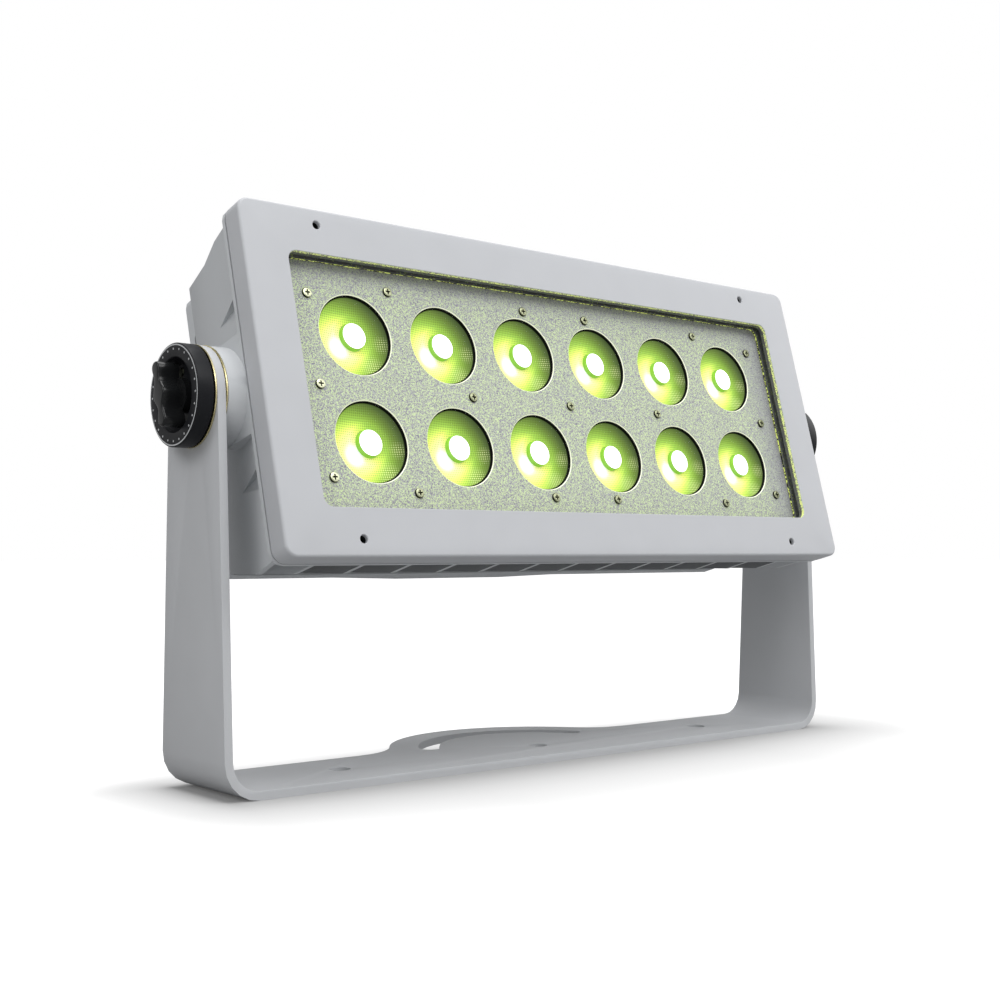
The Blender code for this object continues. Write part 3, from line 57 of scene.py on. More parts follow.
camera = bpy.data.objects.new("photo_camera", camera_data)
camera.location = (-0.6097, -0.7231, 0.1343)
camera.rotation_euler = (math.radians(90), 0, math.radians(-40))
bpy.context.scene.collection.objects.link(camera)
bpy.context.scene.camera = camera
bpy.context.scene.view_settings.view_transform = "Standard"


# Studio floor and background
# A white floor before a white wall that lights it evenly. The soft shadow round the lamp's base
# is painted: a glow seen only by the camera, weakest at the base and rising away from it
def linear(code):
    """The renderer's colour for a screen colour written as #RRGGBB."""
    parts = [int(code[at : at + 2], 16) / 255 for at in (1, 3, 5)]
    return (*[p / 12.92 if p <= 0.04045 else ((p + 0.055) / 1.055) ** 2.4 for p in parts], 1.0)


def feed(tree, node, inputs):
    """Gives each input of a node another node's output or a value."""
    for socket, value in inputs.items():
        if isinstance(value, bpy.types.NodeSocket):
            tree.links.new(value, node.inputs[socket])
        else:
            node.inputs[socket].default_value = value


def add_node(tree, kind, settings=None, inputs=None):
    """A shader node with its settings and its inputs."""
    node = tree.nodes.new("ShaderNode" + kind)
    for name, value in (settings or {}).items():
        setattr(node, name, value)
    feed(tree, node, inputs or {})
    return node


def maths(tree, operation, first, second=0.0):
    """One step of arithmetic on two outputs or numbers."""
    return add_node(tree, "Math", {"operation": operation}, {0: first, 1: second}).outputs[0]


def remap(tree, value, source=(0.0, 1.0), target=(0.0, 1.0), kind="LINEAR"):
    """The value carried over from the source range to the target range."""
    ends = {"From Min": source[0], "From Max": source[1], "To Min": target[0], "To Max": target[1]}
    made = add_node(tree, "MapRange", {"interpolation_type": kind}, {"Value": value, **ends})
    return made.outputs[0]


def mixed(tree, share, first, second):
    """The first colour where the share is 0, and the second where it is 1."""
    colours = {"Factor": share, "A": first, "B": second}
    return add_node(tree, "Mix", {"data_type": "RGBA"}, colours).outputs["Result"]


def own_place(tree):
    """Where a point lies in its piece's own axes."""
    return add_node(tree, "TexCoord").outputs["Object"]


def noise(tree, scale, detail=2.0):
    """Soft noise fixed to the piece, its scale the waves in a metre."""
    inputs = {"Vector": own_place(tree), "Scale": scale, "Detail": detail}
    return add_node(tree, "TexNoise", None, inputs).outputs["Fac"]


def new_material(name):
    """A material with its node tree and its Principled shader."""
    made = bpy.data.materials.new(name)
    made.use_nodes = True
    return made, made.node_tree, made.node_tree.nodes["Principled BSDF"]


BASE_HALF = (0.245, 0.030)  # the part of the floor that the yoke's base covers
BASE_MIDDLE_Y = -0.0345
# Painted shadow: light added for the camera by the distance from the base, least next to it, so
# that a soft grey shadow stays painted round the base
GLOW_REACH = 0.3
FLOOR_GLOW = {
    0.0: 0.07,
    0.016: 0.20,
    0.03: 0.29,
    0.05: 0.39,
    0.07: 0.45,
    0.1: 0.52,
    0.16: 0.70,
    GLOW_REACH: 0.85,
}
# The painted shadow is shorter at the base's ends, beside it and behind
END_SHORTER, LEFT_SHORTER, RIGHT_SHORTER, BACK_SHORTER = 1.5, 2.8, 1.6, 4.0
FLOOR_HALF = 15

# Matt white emulsion: no sheen, so that the floor mirrors nothing
floor_paint, tree, shader = new_material("studio_floor_white_paint")
feed(tree, shader, {"Base Color": linear("#A0A0A0"), "Roughness": 0.9, "Specular IOR Level": 0.1})
parts = add_node(tree, "SeparateXYZ", None, {"Vector": own_place(tree)})
from_middle = maths(tree, "ABSOLUTE", parts.outputs["X"])
beside = maths(tree, "SUBTRACT", from_middle, BASE_HALF[0])
beside = maths(tree, "MAXIMUM", beside, 0.0)
on_right = maths(tree, "GREATER_THAN", parts.outputs["X"], 0.0)
shorter = remap(tree, on_right, target=(LEFT_SHORTER, RIGHT_SHORTER))
side = maths(tree, "MULTIPLY", beside, shorter)
ahead = maths(tree, "SUBTRACT", BASE_MIDDLE_Y - BASE_HALF[1], parts.outputs["Y"])
to_end = remap(tree, from_middle, (BASE_HALF[0] / 2, BASE_HALF[0]), (1.0, END_SHORTER))
ahead = maths(tree, "MULTIPLY", ahead, to_end)
behind = maths(tree, "SUBTRACT", parts.outputs["Y"], BASE_MIDDLE_Y + BASE_HALF[1])
behind = maths(tree, "MULTIPLY", behind, BACK_SHORTER)
ahead = maths(tree, "MAXIMUM", ahead, behind)
ahead = maths(tree, "MAXIMUM", ahead, 0.0)
offset = add_node(tree, "CombineXYZ", None, {"X": side, "Y": ahead})
away = add_node(tree, "VectorMath", {"operation": "LENGTH"}, {0: offset.outputs[0]})
share = maths(tree, "DIVIDE", away.outputs["Value"], GLOW_REACH)
level = add_node(tree, "ValToRGB", None, {"Fac": share})
for distance, strength in FLOOR_GLOW.items():
    level.color_ramp.elements.new(distance / GLOW_REACH).color = (strength, strength, strength, 1)
level.color_ramp.elements.remove(level.color_ramp.elements[0])
level.color_ramp.elements.remove(level.color_ramp.elements[-1])
path = add_node(tree, "LightPath")
# Painted shadow: this glow is weakest next to the base
glow = maths(tree, "MULTIPLY", path.outputs["Is Camera Ray"], level.outputs[0])
feed(tree, shader, {"Emission Strength": glow, "Emission Color": (1, 1, 1, 1)})

shape = bmesh.new()
bmesh.ops.create_grid(shape, x_segments=1, y_segments=1, size=FLOOR_HALF)
floor_mesh = bpy.data.meshes.new("studio_floor")
shape.to_mesh(floor_mesh)
shape.free()
floor_mesh.materials.append(floor_paint)
floor = bpy.data.objects.new("studio_floor", floor_mesh)
bpy.context.scene.collection.objects.link(floor)

WALL_LIGHT = 0.30  # light that reaches the lamp from the studio's walls
WALL_SHEEN = 0.40  # how bright a white wall stands in reflections

world = bpy.data.worlds.new("studio")
bpy.context.scene.world = world
world.use_nodes = True
tree = world.node_tree
tree.nodes.clear()
path = add_node(tree, "LightPath")
seen = maths(tree, "MAXIMUM", path.outputs["Is Camera Ray"], path.outputs["Is Transmission Ray"])
sheen = maths(tree, "MULTIPLY", path.outputs["Is Glossy Ray"], WALL_SHEEN)
seen = maths(tree, "MAXIMUM", seen, sheen)
level = remap(tree, seen, target=(WALL_LIGHT, 1.0))
backdrop = add_node(tree, "Background", None, {"Color": (1, 1, 1, 1), "Strength": level})
add_node(tree, "OutputWorld", None, {"Surface": backdrop.outputs[0]})


# Lamps of the studio
# Large soft boxes before and above the lamp, and weaker ones that fill its sides
def soft_box(name, place, target, size, watts):
    """A square soft lamp that points at a target."""
    data = bpy.data.lights.new(name, "AREA")
    data.shape = "SQUARE"
    data.size = size
    data.energy = watts
    made = bpy.data.objects.new(name, data)
    made.location = place
    made.rotation_euler = (Vector(target) - Vector(place)).to_track_quat("-Z", "Y").to_euler()
    bpy.context.scene.collection.objects.link(made)


LAMPS = {
    "front_soft_box": ((0.1, -1.75, 2.2), 1.6, 35),
    "top_soft_box": ((0.0, 0.2, 2.4), 1.4, 25),
    "right_soft_box": ((2.0, -0.3, 1.0), 1.2, 10),
    "front_right_soft_box": ((1.4, -1.6, 1.4), 1.2, 8),
    "front_left_soft_box": ((-1.6, -1.2, 1.0), 1.2, 6),
    "left_soft_box": ((-1.9, -0.1, 1.5), 1.0, 8),
}
LAMPS_AIM = (0, 0, 0.2)
for name, (place, size, watts) in LAMPS.items():
    soft_box(name, place, LAMPS_AIM, size, watts)

# Yoke
# A 5 mm steel plate, laser cut and bent to a U, then powder coated light grey; its edges are crisp
TILT = math.radians(15)
joints = {joint["name"]: joint for joint in frame["joints"]}
PIVOT = Vector(joints["head_tilt"]["pos_m"])
HEAD = Matrix.Translation(PIVOT) @ Matrix.Rotation(-TILT, 4, "X")
CLOUDS_PER_GRAIN, CLOUD_TONE = 0.02, 0.94  # one cloud spans 50 grains and is this much darker


def coated(name, colour, roughness, grain, bump=0.15, painted_shade=None):
    """Powder coat: an even, soft sheen over a fine orange peel of the grain given in metres.

    The peel is drawn coarser than the real 0.3 mm, as fine as still shows, and the coat clouds a
    little. The last argument is a painted shade colour for narrow channels, mixed in by the
    attribute depth.
    """
    made, tree, shader = new_material(name)
    cloud = noise(tree, CLOUDS_PER_GRAIN / grain, 1.0)
    tint = mixed(tree, cloud, linear(colour), [CLOUD_TONE * part for part in linear(colour)])
    peel = {"Height": noise(tree, 1 / grain), "Strength": bump, "Distance": grain / 4}
    rise = add_node(tree, "Bump", None, peel)
    # Painted shade: channels darken by the attribute depth
    if painted_shade:
        depth = add_node(tree, "Attribute", {"attribute_name": "depth"})
        tint = mixed(tree, depth.outputs["Fac"], tint, linear(painted_shade))
    feed(tree, shader, {"Base Color": tint, "Normal": rise.outputs["Normal"]})
    feed(tree, shader, {"Roughness": roughness, "Specular IOR Level": 0.3})
    return made


def finished(name, shape, finishes, body, replaced, smooth=28):
    """The bmesh as a piece that rides on a body in place of the CAD's nodes."""
    bmesh.ops.recalc_face_normals(shape, faces=shape.faces)
    mesh = bpy.data.meshes.new(name)
    shape.to_mesh(mesh)
    shape.free()
    for finish in finishes:
        mesh.materials.append(finish)
    mesh.shade_smooth()
    mesh.set_sharp_from_angle(angle=math.radians(smooth))
    made = bpy.data.objects.new(name, mesh)
    bpy.context.scene.collection.objects.link(made)
    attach(made, body)
    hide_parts(*replaced)


SAME_POINT = 2e-5
FLAT_ANGLE, SHARP_ANGLE = 1, 40


def rounded(shape, edges, width, segments):
    """Rounds the edges by the width."""
    bmesh.ops.bevel(
        shape,
        geom=edges,
        offset=width,
        segments=segments,
        profile=0.5,
        affect="EDGES",
        material=-1,
        clamp_overlap=True,
    )


def broken_edges(node, width, segments=2):
    """The CAD's piece with its flat faces made whole and its sharp edges rounded by the width."""
    shape = bmesh.new()
    shape.from_mesh(frame["nodes"][node].data)
    bmesh.ops.remove_doubles(shape, verts=shape.verts, dist=SAME_POINT)
    bmesh.ops.dissolve_limit(
        shape, angle_limit=math.radians(FLAT_ANGLE), verts=shape.verts, edges=shape.edges
    )
    inner = [edge for edge in shape.edges if len(edge.link_faces) == 2]
    sharp = [edge for edge in inner if edge.calc_face_angle() > math.radians(SHARP_ANGLE)]
    rounded(shape, sharp, width, segments)
    return shape


yoke_coat = coated("powder_coated_steel_light_grey", "#C5C7CA", 0.55, 0.0006)
shape = broken_edges("yoke_bracket", 0.0006)
finished("yoke_bracket_bent_plate", shape, [yoke_coat], "yoke", ["yoke_bracket"])

# Heat sink housing
# One aluminium casting with cooling fins above and below; shot blasted, then coated like the yoke
# Painted shade: the channels between the fins are painted darker from their mouth to their floor,
# as little light gets in
CHANNEL_FLOOR, FIN_TIP, SIDE_WALL_X = 0.063, 0.094, 0.2
FIN_END = 0.009  # what counts as a fin's end, which stays light
FACES_UP = 0.7  # least upright part of such a face's normal
LEAST_SHADE, FULL_SHADE = 0.62, 1  # shares of the painted shade colour
FLANGE_BACK_Y = -0.0252
cast_coat = coated("powder_coated_cast_aluminium", "#CACDD0", 0.6, 0.0009, 0.3, "#303234")
shape = broken_edges("heat_sink_housing", 0.0004, 1)
depth_layer = shape.loops.layers.float.new("depth")
into_head = HEAD.inverted()
for face in shape.faces:
    middle, facing = into_head @ face.calc_center_median(), into_head.to_3x3() @ face.normal
    at_end = abs(facing.z) > FACES_UP and abs(middle.z) > FIN_TIP - FIN_END
    if middle.y < FLANGE_BACK_Y or abs(middle.x) > SIDE_WALL_X or at_end:
        continue
    for loop in face.loops:
        height = abs((into_head @ loop.vert.co).z)
        shade = (FIN_TIP - height) / (FIN_TIP - CHANNEL_FLOOR)
        loop[depth_layer] = min(FULL_SHADE, max(LEAST_SHADE, shade))
node = "heat_sink_housing"
finished(f"{node}_casting", shape, [cast_coat], "head", [node])


# Seal between the housing's flange and the bezel
# A die-cut grey rubber sheet; only its outer edge shows, as a fine line
BLOOM = 1 / 900  # specks of 1.1 mm, as fine as still shows


def rubber(name, colour, roughness):
    """Moulded rubber: dull, with a faint bloom that breaks up what sheen it has."""
    made, tree, shader = new_material(name)
    sheen = remap(tree, noise(tree, 1 / BLOOM, 3.0), target=(roughness - 0.1, roughness + 0.1))
    feed(tree, shader, {"Roughness": sheen, "Base Color": linear(colour)})
    return made


seal_rubber = rubber("grey_rubber_seal", "#5E6062", 0.8)
for node in ("flange_seal", "rear_gasket"):
    shape = broken_edges(node, 0.0001, 1)
    finished(f"{node}_sheet", shape, [seal_rubber], "head", [node])

# Front bezel
# The cast front frame, coated and rounded all round its face, with four tapped accessory holes
FACE_HALF = (0.233, 0.1024)
FACE_CORNER = 0.0075
WINDOW_HALF = (0.205, 0.0744)
WINDOW_CORNER = 0.006
RECESS_HALF = (0.212, 0.0814)
FACE_Y, LIP_Y, BEZEL_BACK_Y = -0.0438, -0.0403, -0.0295
FACE_ROUND, LIP_ROUND = 0.0018, 0.0003
FACE_HOLE_RADIUS, HOLE_CHAMFER = 0.0025, 0.0004
HOLE_LEAD_IN = 0.0025  # coated as far in as this; deeper, the wall is painted dark as shade
ROUND_STEPS = 6
FACE_HOLES = [(sx * 0.1832, sz * 0.0923) for sx in (-1, 1) for sz in (-1, 1)]


def outline(shape, half, corner, y, centre, steps):
    """A ring of vertices that faces the front: a circle with its quarters moved apart."""
    ring = []
    for step in range(steps):
        angle = 2 * math.pi * (step + 0.5) / steps
        unit = (math.cos(angle), math.sin(angle))
        apart = [math.copysign(half[axis] - corner, unit[axis]) for axis in (0, 1)]
        x, z = (centre[axis] + apart[axis] + corner * unit[axis] for axis in (0, 1))
        ring.append(shape.verts.new((x, y, z)))
    return ring


def band(shape, near, far):
    """The faces between two rings of vertices."""
    turns = range(len(near))
    return [shape.faces.new((near[at - 1], near[at], far[at], far[at - 1])) for at in turns]


def rim_edges(shape, ring):
    """The edges of a ring of vertices."""
    return [shape.edges.get((ring[at - 1], ring[at])) for at in range(len(ring))]


def walls(shape, sections, centre=(0, 0), steps=32):
    """Walls from outline to outline (half sizes, corner radius, y); equal outlines are one ring.

    Returns the first and last edges and each wall's faces.
    """
    rings = {each: outline(shape, *each, centre, steps) for each in dict.fromkeys(sections)}
    made = [band(shape, rings[near], rings[far]) for near, far in zip(sections, sections[1:])]
    return rim_edges(shape, rings[sections[0]]), rim_edges(shape, rings[sections[-1]]), made


def circle(radius, y):
    """A circle as an outline for walls()."""
    return ((radius, radius), radius, y)


def fill(shape, edges):
    """Fills what lies between the loops of edges."""
    bmesh.ops.triangle_fill(shape, use_beauty=True, use_dissolve=False, edges=edges)


def slab(shape, half, corner, y, depth):
    """A rounded rectangle with a thickness towards the back."""
    front, back, _ = walls(shape, [(half, corner, y), (half, corner, y + depth)])
    fill(shape, front)
    fill(shape, back)


def lit_speckle(name, dull, bright, size, share, glow):
    """A face with the green light it catches painted on in glowing grains: their size, and the
    share that is lit.

    The grains are drawn at 0.7 to 1.1 mm, coarser than the real ones, so that they show as specks.
    """
    made, tree, shader = new_material(name)
    grains = add_node(tree, "TexVoronoi", None, {"Vector": own_place(tree), "Scale": 1 / size})
    tone = add_node(tree, "SeparateColor", None, {"Color": grains.outputs["Color"]})
    amount = remap(tree, tone.outputs["Red"], (0.9 - share, 1.1 - share))
    tint = mixed(tree, amount, linear(dull), linear(bright))
    # Painted light: the lit grains glow
    strength = maths(tree, "MULTIPLY", amount, glow)
    feed(tree, shader, {"Base Color": tint, "Emission Color": tint, "Emission Strength": strength})
    feed(tree, shader, {"Roughness": 0.6, "Specular IOR Level": 0.2})
    return made


bezel_coat = coated("powder_coated_bezel_light_grey", "#C1C3C7", 0.5, 0.0005, 0.08)
hole_dark = rubber("tapped_hole_shade", "#1C1D1F", 0.6)
lip_painted_glow = lit_speckle("bezel_lip_lit_by_reflectors", "#A2A698", "#F4FFA0", 0.0007, 0.55, 0.25)
shape = bmesh.new()
sections = [(FACE_HALF, FACE_CORNER, BEZEL_BACK_Y)]
for step in range(ROUND_STEPS + 1):
    angle = math.radians(90 * step / ROUND_STEPS)
    inset = FACE_ROUND * (1 - math.cos(angle))
    half = (FACE_HALF[0] - inset, FACE_HALF[1] - inset)
    sections.append((half, FACE_CORNER - inset, FACE_Y + FACE_ROUND * (1 - math.sin(angle))))
back_rim, face_rim, _ = walls(shape, sections, steps=48)
window_sections = [
    ((WINDOW_HALF[0] + LIP_ROUND, WINDOW_HALF[1] + LIP_ROUND), WINDOW_CORNER + LIP_ROUND, FACE_Y),
    (WINDOW_HALF, WINDOW_CORNER, FACE_Y + LIP_ROUND),
    (WINDOW_HALF, WINDOW_CORNER, LIP_Y),
    (RECESS_HALF, WINDOW_CORNER, LIP_Y),
    (RECESS_HALF, WINDOW_CORNER, BEZEL_BACK_Y),
]
window_rim, recess_rim, bands = walls(shape, window_sections)
# Painted light: the lip's wall takes the glowing green specks
for face in bands[1]:
    face.material_index = 1
front_rims, rear_rims = face_rim + window_rim, back_rim + recess_rim
for spot in FACE_HOLES:
    hole_sections = [
        circle(FACE_HOLE_RADIUS + HOLE_CHAMFER, FACE_Y),
        circle(FACE_HOLE_RADIUS, FACE_Y + HOLE_CHAMFER),
        circle(FACE_HOLE_RADIUS, FACE_Y + HOLE_LEAD_IN),
        circle(FACE_HOLE_RADIUS, BEZEL_BACK_Y),
    ]
    front, rear, bands = walls(shape, hole_sections, spot, 24)
    # Painted shade: past the lead-in the hole's wall takes the dark finish
    for face in bands[2]:
        face.material_index = 2
    front_rims += front
    rear_rims += rear
for rims in (front_rims, rear_rims):
    fill(shape, rims)
shape.transform(HEAD)
finishes = [bezel_coat, lip_painted_glow, hole_dark]
finished("front_bezel_cast_frame", shape, finishes, "head", ["front_bezel"], 35)

# Glass gasket
# A black rubber channel pressed over the glass's edge; the green light its rear lip catches is
# painted on as glowing specks, and a few on the rest of it
GASKET_Y, GASKET_BACK_Y = -0.0400, -0.0336
GASKET_HALF = (0.2117, 0.0811)
SKIRT_Y = -0.0415  # a thin skirt covers the back of the bezel's lip
SKIRT_GAP = 0.0001
SKIRT_HALF = (WINDOW_HALF[0] - SKIRT_GAP, WINDOW_HALF[1] - SKIRT_GAP)
GROOVE_HALF, GROOVE_SPARE = (0.2093, 0.0787), 0.0003  # the groove that the glass sits in
LIT_LIP = 0.0010  # the width of the rear lip that catches the light
GLASS_Y, GLASS_THICK = -0.0388, 0.0030
# Painted light: glowing green specks, few on the channel and many on its rear lip
gasket_rubber = lit_speckle("black_rubber_gasket", "#6C6D6E", "#A9C070", 0.0008, 0.04, 0.2)
lip_rubber = lit_speckle("gasket_lip_lit_by_reflectors", "#14150E", "#E4F27A", 0.0011, 0.42, 0.5)
shape = bmesh.new()
channel = [
    (SKIRT_HALF, WINDOW_CORNER, SKIRT_Y),
    (SKIRT_HALF, WINDOW_CORNER, GLASS_Y - GROOVE_SPARE),
    (GROOVE_HALF, WINDOW_CORNER, GLASS_Y - GROOVE_SPARE),
    (GROOVE_HALF, WINDOW_CORNER, GLASS_Y + GLASS_THICK + GROOVE_SPARE),
    (WINDOW_HALF, WINDOW_CORNER, GLASS_Y + GLASS_THICK + GROOVE_SPARE),
    (WINDOW_HALF, WINDOW_CORNER, GASKET_BACK_Y - LIT_LIP),
    (WINDOW_HALF, WINDOW_CORNER, GASKET_BACK_Y),
    (GASKET_HALF, WINDOW_CORNER, GASKET_BACK_Y),
    (GASKET_HALF, WINDOW_CORNER, GASKET_Y),
    (WINDOW_HALF, WINDOW_CORNER, GASKET_Y),
    (WINDOW_HALF, WINDOW_CORNER, SKIRT_Y),
]
LIT_BAND = 5  # which wall of the channel is that lip
_, _, bands = walls(shape, channel + channel[:1])
for face in bands[LIT_BAND]:
    face.material_index = 1
shape.transform(HEAD)
finishes = [gasket_rubber, lip_rubber]
finished("glass_gasket_channel", shape, finishes, "head", ["glass_gasket"])

# Front glass
# Tempered clear glass with an anti-reflection coat, so it all but vanishes from the front
GLASS_HALF = (0.209, 0.0784)
SMEAR = 1 / 12  # wiping leaves faint smears some 80 mm long, which part the sheen
glass, tree, shader = new_material("tempered_clear_glass")
haze = remap(tree, noise(tree, 1 / SMEAR), target=(0.02, 0.06))
feed(tree, shader, {"Base Color": linear("#2C302E"), "Alpha": 0.003, "Roughness": haze})
shape = bmesh.new()
slab(shape, GLASS_HALF, WINDOW_CORNER, GLASS_Y, GLASS_THICK)
shape.transform(HEAD)
finished("front_glass_pane", shape, [glass], "head", ["front_glass"])

# Aperture plate
# A pressed aluminium plate in a grainy coat, with twelve openings whose walls are painted black
# as shade
COLUMN_PITCH, ROW_PITCH = 0.064, 0.0646
COLUMNS = [(column - 2.5) * COLUMN_PITCH for column in range(6)]
LIGHTS = [(x, z) for z in (0.5 * ROW_PITCH, -0.5 * ROW_PITCH) for x in COLUMNS]
OPENING_RADIUS = 0.0245
PLATE_Y, PLATE_THICK = -0.0333, 0.0015
OPENING_ROUND = 0.0005
PLATE_HALF = GASKET_HALF

# A baked coat of coarse grit: each grain stands grey or mauve, and on some the green light is
# painted as pale green. The grit is drawn at 0.5 mm, coarser than the real one, so that single
# grains show
PLATE_GRAIN = 0.0005
# How far from an edge the painted green light starts, and how far in it is full
RIGHT_FADE, TOP_FADE = (0.004, 0.035), (0.004, 0.024)
TOP_GREEN = 0.25  # what is left of it at the top edge
grain_coat, tree, shader = new_material("grainy_coated_plate")
place = own_place(tree)
grains = add_node(tree, "TexVoronoi", None, {"Vector": place, "Scale": 1 / PLATE_GRAIN})
tone = add_node(tree, "SeparateColor", None, {"Color": grains.outputs["Color"]})
lit = remap(tree, tone.outputs["Red"], (0.45, 0.70))
mauve = remap(tree, tone.outputs["Green"], (0.4, 0.7))
# The painted green light fades towards the right edge and the top one
across = add_node(tree, "VectorMath", {"operation": "DOT_PRODUCT"}, {0: place, 1: HEAD.col[0].xyz})
upward = add_node(tree, "VectorMath", {"operation": "DOT_PRODUCT"}, {0: place, 1: HEAD.col[2].xyz})
TOP_EDGE = PLATE_HALF[1] + PIVOT.dot(HEAD.col[2].xyz)
right_range = (PLATE_HALF[0] - RIGHT_FADE[0], PLATE_HALF[0] - RIGHT_FADE[1])
top_range = (TOP_EDGE - TOP_FADE[0], TOP_EDGE - TOP_FADE[1])
by_right = remap(tree, across.outputs["Value"], right_range)
by_top = remap(tree, upward.outputs["Value"], top_range, (TOP_GREEN, 1.0))
amount = maths(tree, "MULTIPLY", lit, maths(tree, "MULTIPLY", by_right, by_top))
base = mixed(tree, mauve, linear("#B6B8BA"), linear("#8F8D9C"))
flecks = mixed(tree, amount, base, linear("#D6E6B6"))
feed(tree, shader, {"Base Color": flecks, "Roughness": 0.75, "Specular IOR Level": 0.2})
opening_wall_shade = rubber("opening_wall_painted_shade", "#0C0D0B", 0.8)
# The rounded rim is painted near white with a faint glow: a painted highlight of the light beside
# it
RIM_ROUGHNESS_SPOTS = 1 / 400  # 2.5 mm
rim_bright, tree, shader = new_material("opening_rim_painted_highlight")
rim_roughness = remap(tree, noise(tree, 1 / RIM_ROUGHNESS_SPOTS), target=(0.3, 0.5))
feed(tree, shader, {"Roughness": rim_roughness, "Base Color": linear("#FBFDEA")})
feed(tree, shader, {"Emission Color": linear("#FBFDDC"), "Emission Strength": 0.25})

shape = bmesh.new()
plate_sections = [(PLATE_HALF, WINDOW_CORNER, y) for y in (PLATE_Y, PLATE_Y + PLATE_THICK)]
front_rims, rear_rims, _ = walls(shape, plate_sections)
opening_sections = [
    circle(OPENING_RADIUS + OPENING_ROUND, PLATE_Y),
    circle(OPENING_RADIUS, PLATE_Y + OPENING_ROUND),
    circle(OPENING_RADIUS, PLATE_Y + PLATE_THICK),
]
for spot in LIGHTS:
    front, rear, bands = walls(shape, opening_sections, spot, 64)
    # Painted shade: the openings' walls take the black finish
    for faces, finish in zip(bands, (2, 1)):
        for face in faces:
            face.material_index = finish
    front_rims += front
    rear_rims += rear
for rims in (front_rims, rear_rims):
    fill(shape, rims)
shape.transform(HEAD)
finishes = [grain_coat, opening_wall_shade, rim_bright]
finished("aperture_plate_sheet", shape, finishes, "head", ["aperture_plate"])


# Screws of the aperture plate
# Seventeen zinc plated pan head screws with cross recesses, pale on top; the recess and the side
# down to the foot are painted dark as shade
def cross(shape, arm, width, y, centre):
    """A ring of vertices that faces the front: a cross."""
    corner = [(arm, width), (width, width), (width, arm)]
    turns = ((1, 0), (0, 1), (-1, 0), (0, -1))
    points = [(x * c - z * s, x * s + z * c) for c, s in turns for x, z in corner]
    return [shape.verts.new((centre[0] + x, y, centre[1] + z)) for x, z in points]


def cross_head(shape, centre, seat_y, radius, height):
    """A pan head on its seat plane, with a cross recess in its flat top.

    Its side and the recess take the second finish, which paints them dark as shade.
    """
    top_y = seat_y - height
    sections = [
        circle(radius, seat_y),
        circle(radius, seat_y - height * 0.6),
        circle(radius * 0.93, seat_y - height * 0.88),
        circle(radius * 0.80, top_y),
    ]
    seat, top, bands = walls(shape, sections, centre, 24)
    bmesh.ops.contextual_create(shape, geom=seat)
    levels = (top_y, top_y + height * 0.6)
    mouth, floor = (cross(shape, radius * 0.56, radius * 0.16, y, centre) for y in levels)
    inside = band(shape, mouth, floor) + [shape.faces.new(floor)]
    fill(shape, top + rim_edges(shape, mouth))
    for face in bands[0] + bands[1] + inside:
        face.material_index = 1


def metal(name, colour, low, high, streak=900.0):
    """Machined metal: a hard sheen that varies with fine tool marks, streak of them in a metre."""
    made, tree, shader = new_material(name)
    sheen = remap(tree, noise(tree, streak, 3.0), target=(low, high))
    feed(tree, shader, {"Roughness": sheen, "Base Color": linear(colour), "Metallic": 1.0})
    return made


# Dark zinc for the dial's pin, and painted shade on the screws' sides and recesses
dark_zinc_and_shade = metal("blackened_zinc_and_painted_shade", "#34362C", 0.35, 0.5)
plated_head = metal("zinc_plated_screw_head", "#C3C7A6", 0.3, 0.5, 500.0)
tree = plated_head.node_tree
# Painted light: the heads at the left end are painted palest, as lit most, and those further right
# darker
LIT_TO_X, SHADED_FROM_X = -0.18, -0.12
across = add_node(tree, "SeparateXYZ", None, {"Vector": own_place(tree)})
shaded_share = remap(tree, across.outputs["X"], (LIT_TO_X, SHADED_FROM_X))
lit_plating = mixed(tree, shaded_share, linear("#CDD0B0"), linear("#9A9E80"))
tree.links.new(lit_plating, tree.nodes["Principled BSDF"].inputs["Base Color"])
SCREW_RADIUS, SCREW_HEIGHT, SEAT_GAP = 0.0030, 0.0015, 0.0001
ROW_X, ROW_Z = (0.133, 0.027), 0.0620  # the eight above and below the lights
END_X, END_Z = 0.1897, 0.0545  # the six at the ends
MIDDLE_X = 0.0805  # the three between the rows
plate_spots = [(sx * x, sz * ROW_Z) for x in ROW_X for sx in (-1, 1) for sz in (-1, 1)]
plate_spots += [(sx * END_X, z) for sx in (-1, 1) for z in (-END_Z, 0.0, END_Z)]
plate_spots += [(x, 0.0) for x in (-MIDDLE_X, 0.0, MIDDLE_X)]
shape = bmesh.new()
for spot in plate_spots:
    cross_head(shape, spot, PLATE_Y + SEAT_GAP, SCREW_RADIUS, SCREW_HEIGHT)
shape.transform(HEAD)
finished("aperture_plate_screws", shape, [plated_head, dark_zinc_and_shade], "head", [])

# Reflectors
# Twelve dished mirrors of metallised plastic with a fine square facet grid; the green light in
# them is painted on
RIM_Y = -0.0315
REFLECTOR_RADIUS, REFLECTOR_DEPTH, DISH_DEPTH = 0.0255, 0.0047, 0.0031
EMITTER_RADIUS, EMITTER_FIT = 0.008, 0.0006
DISH_STEPS = 10
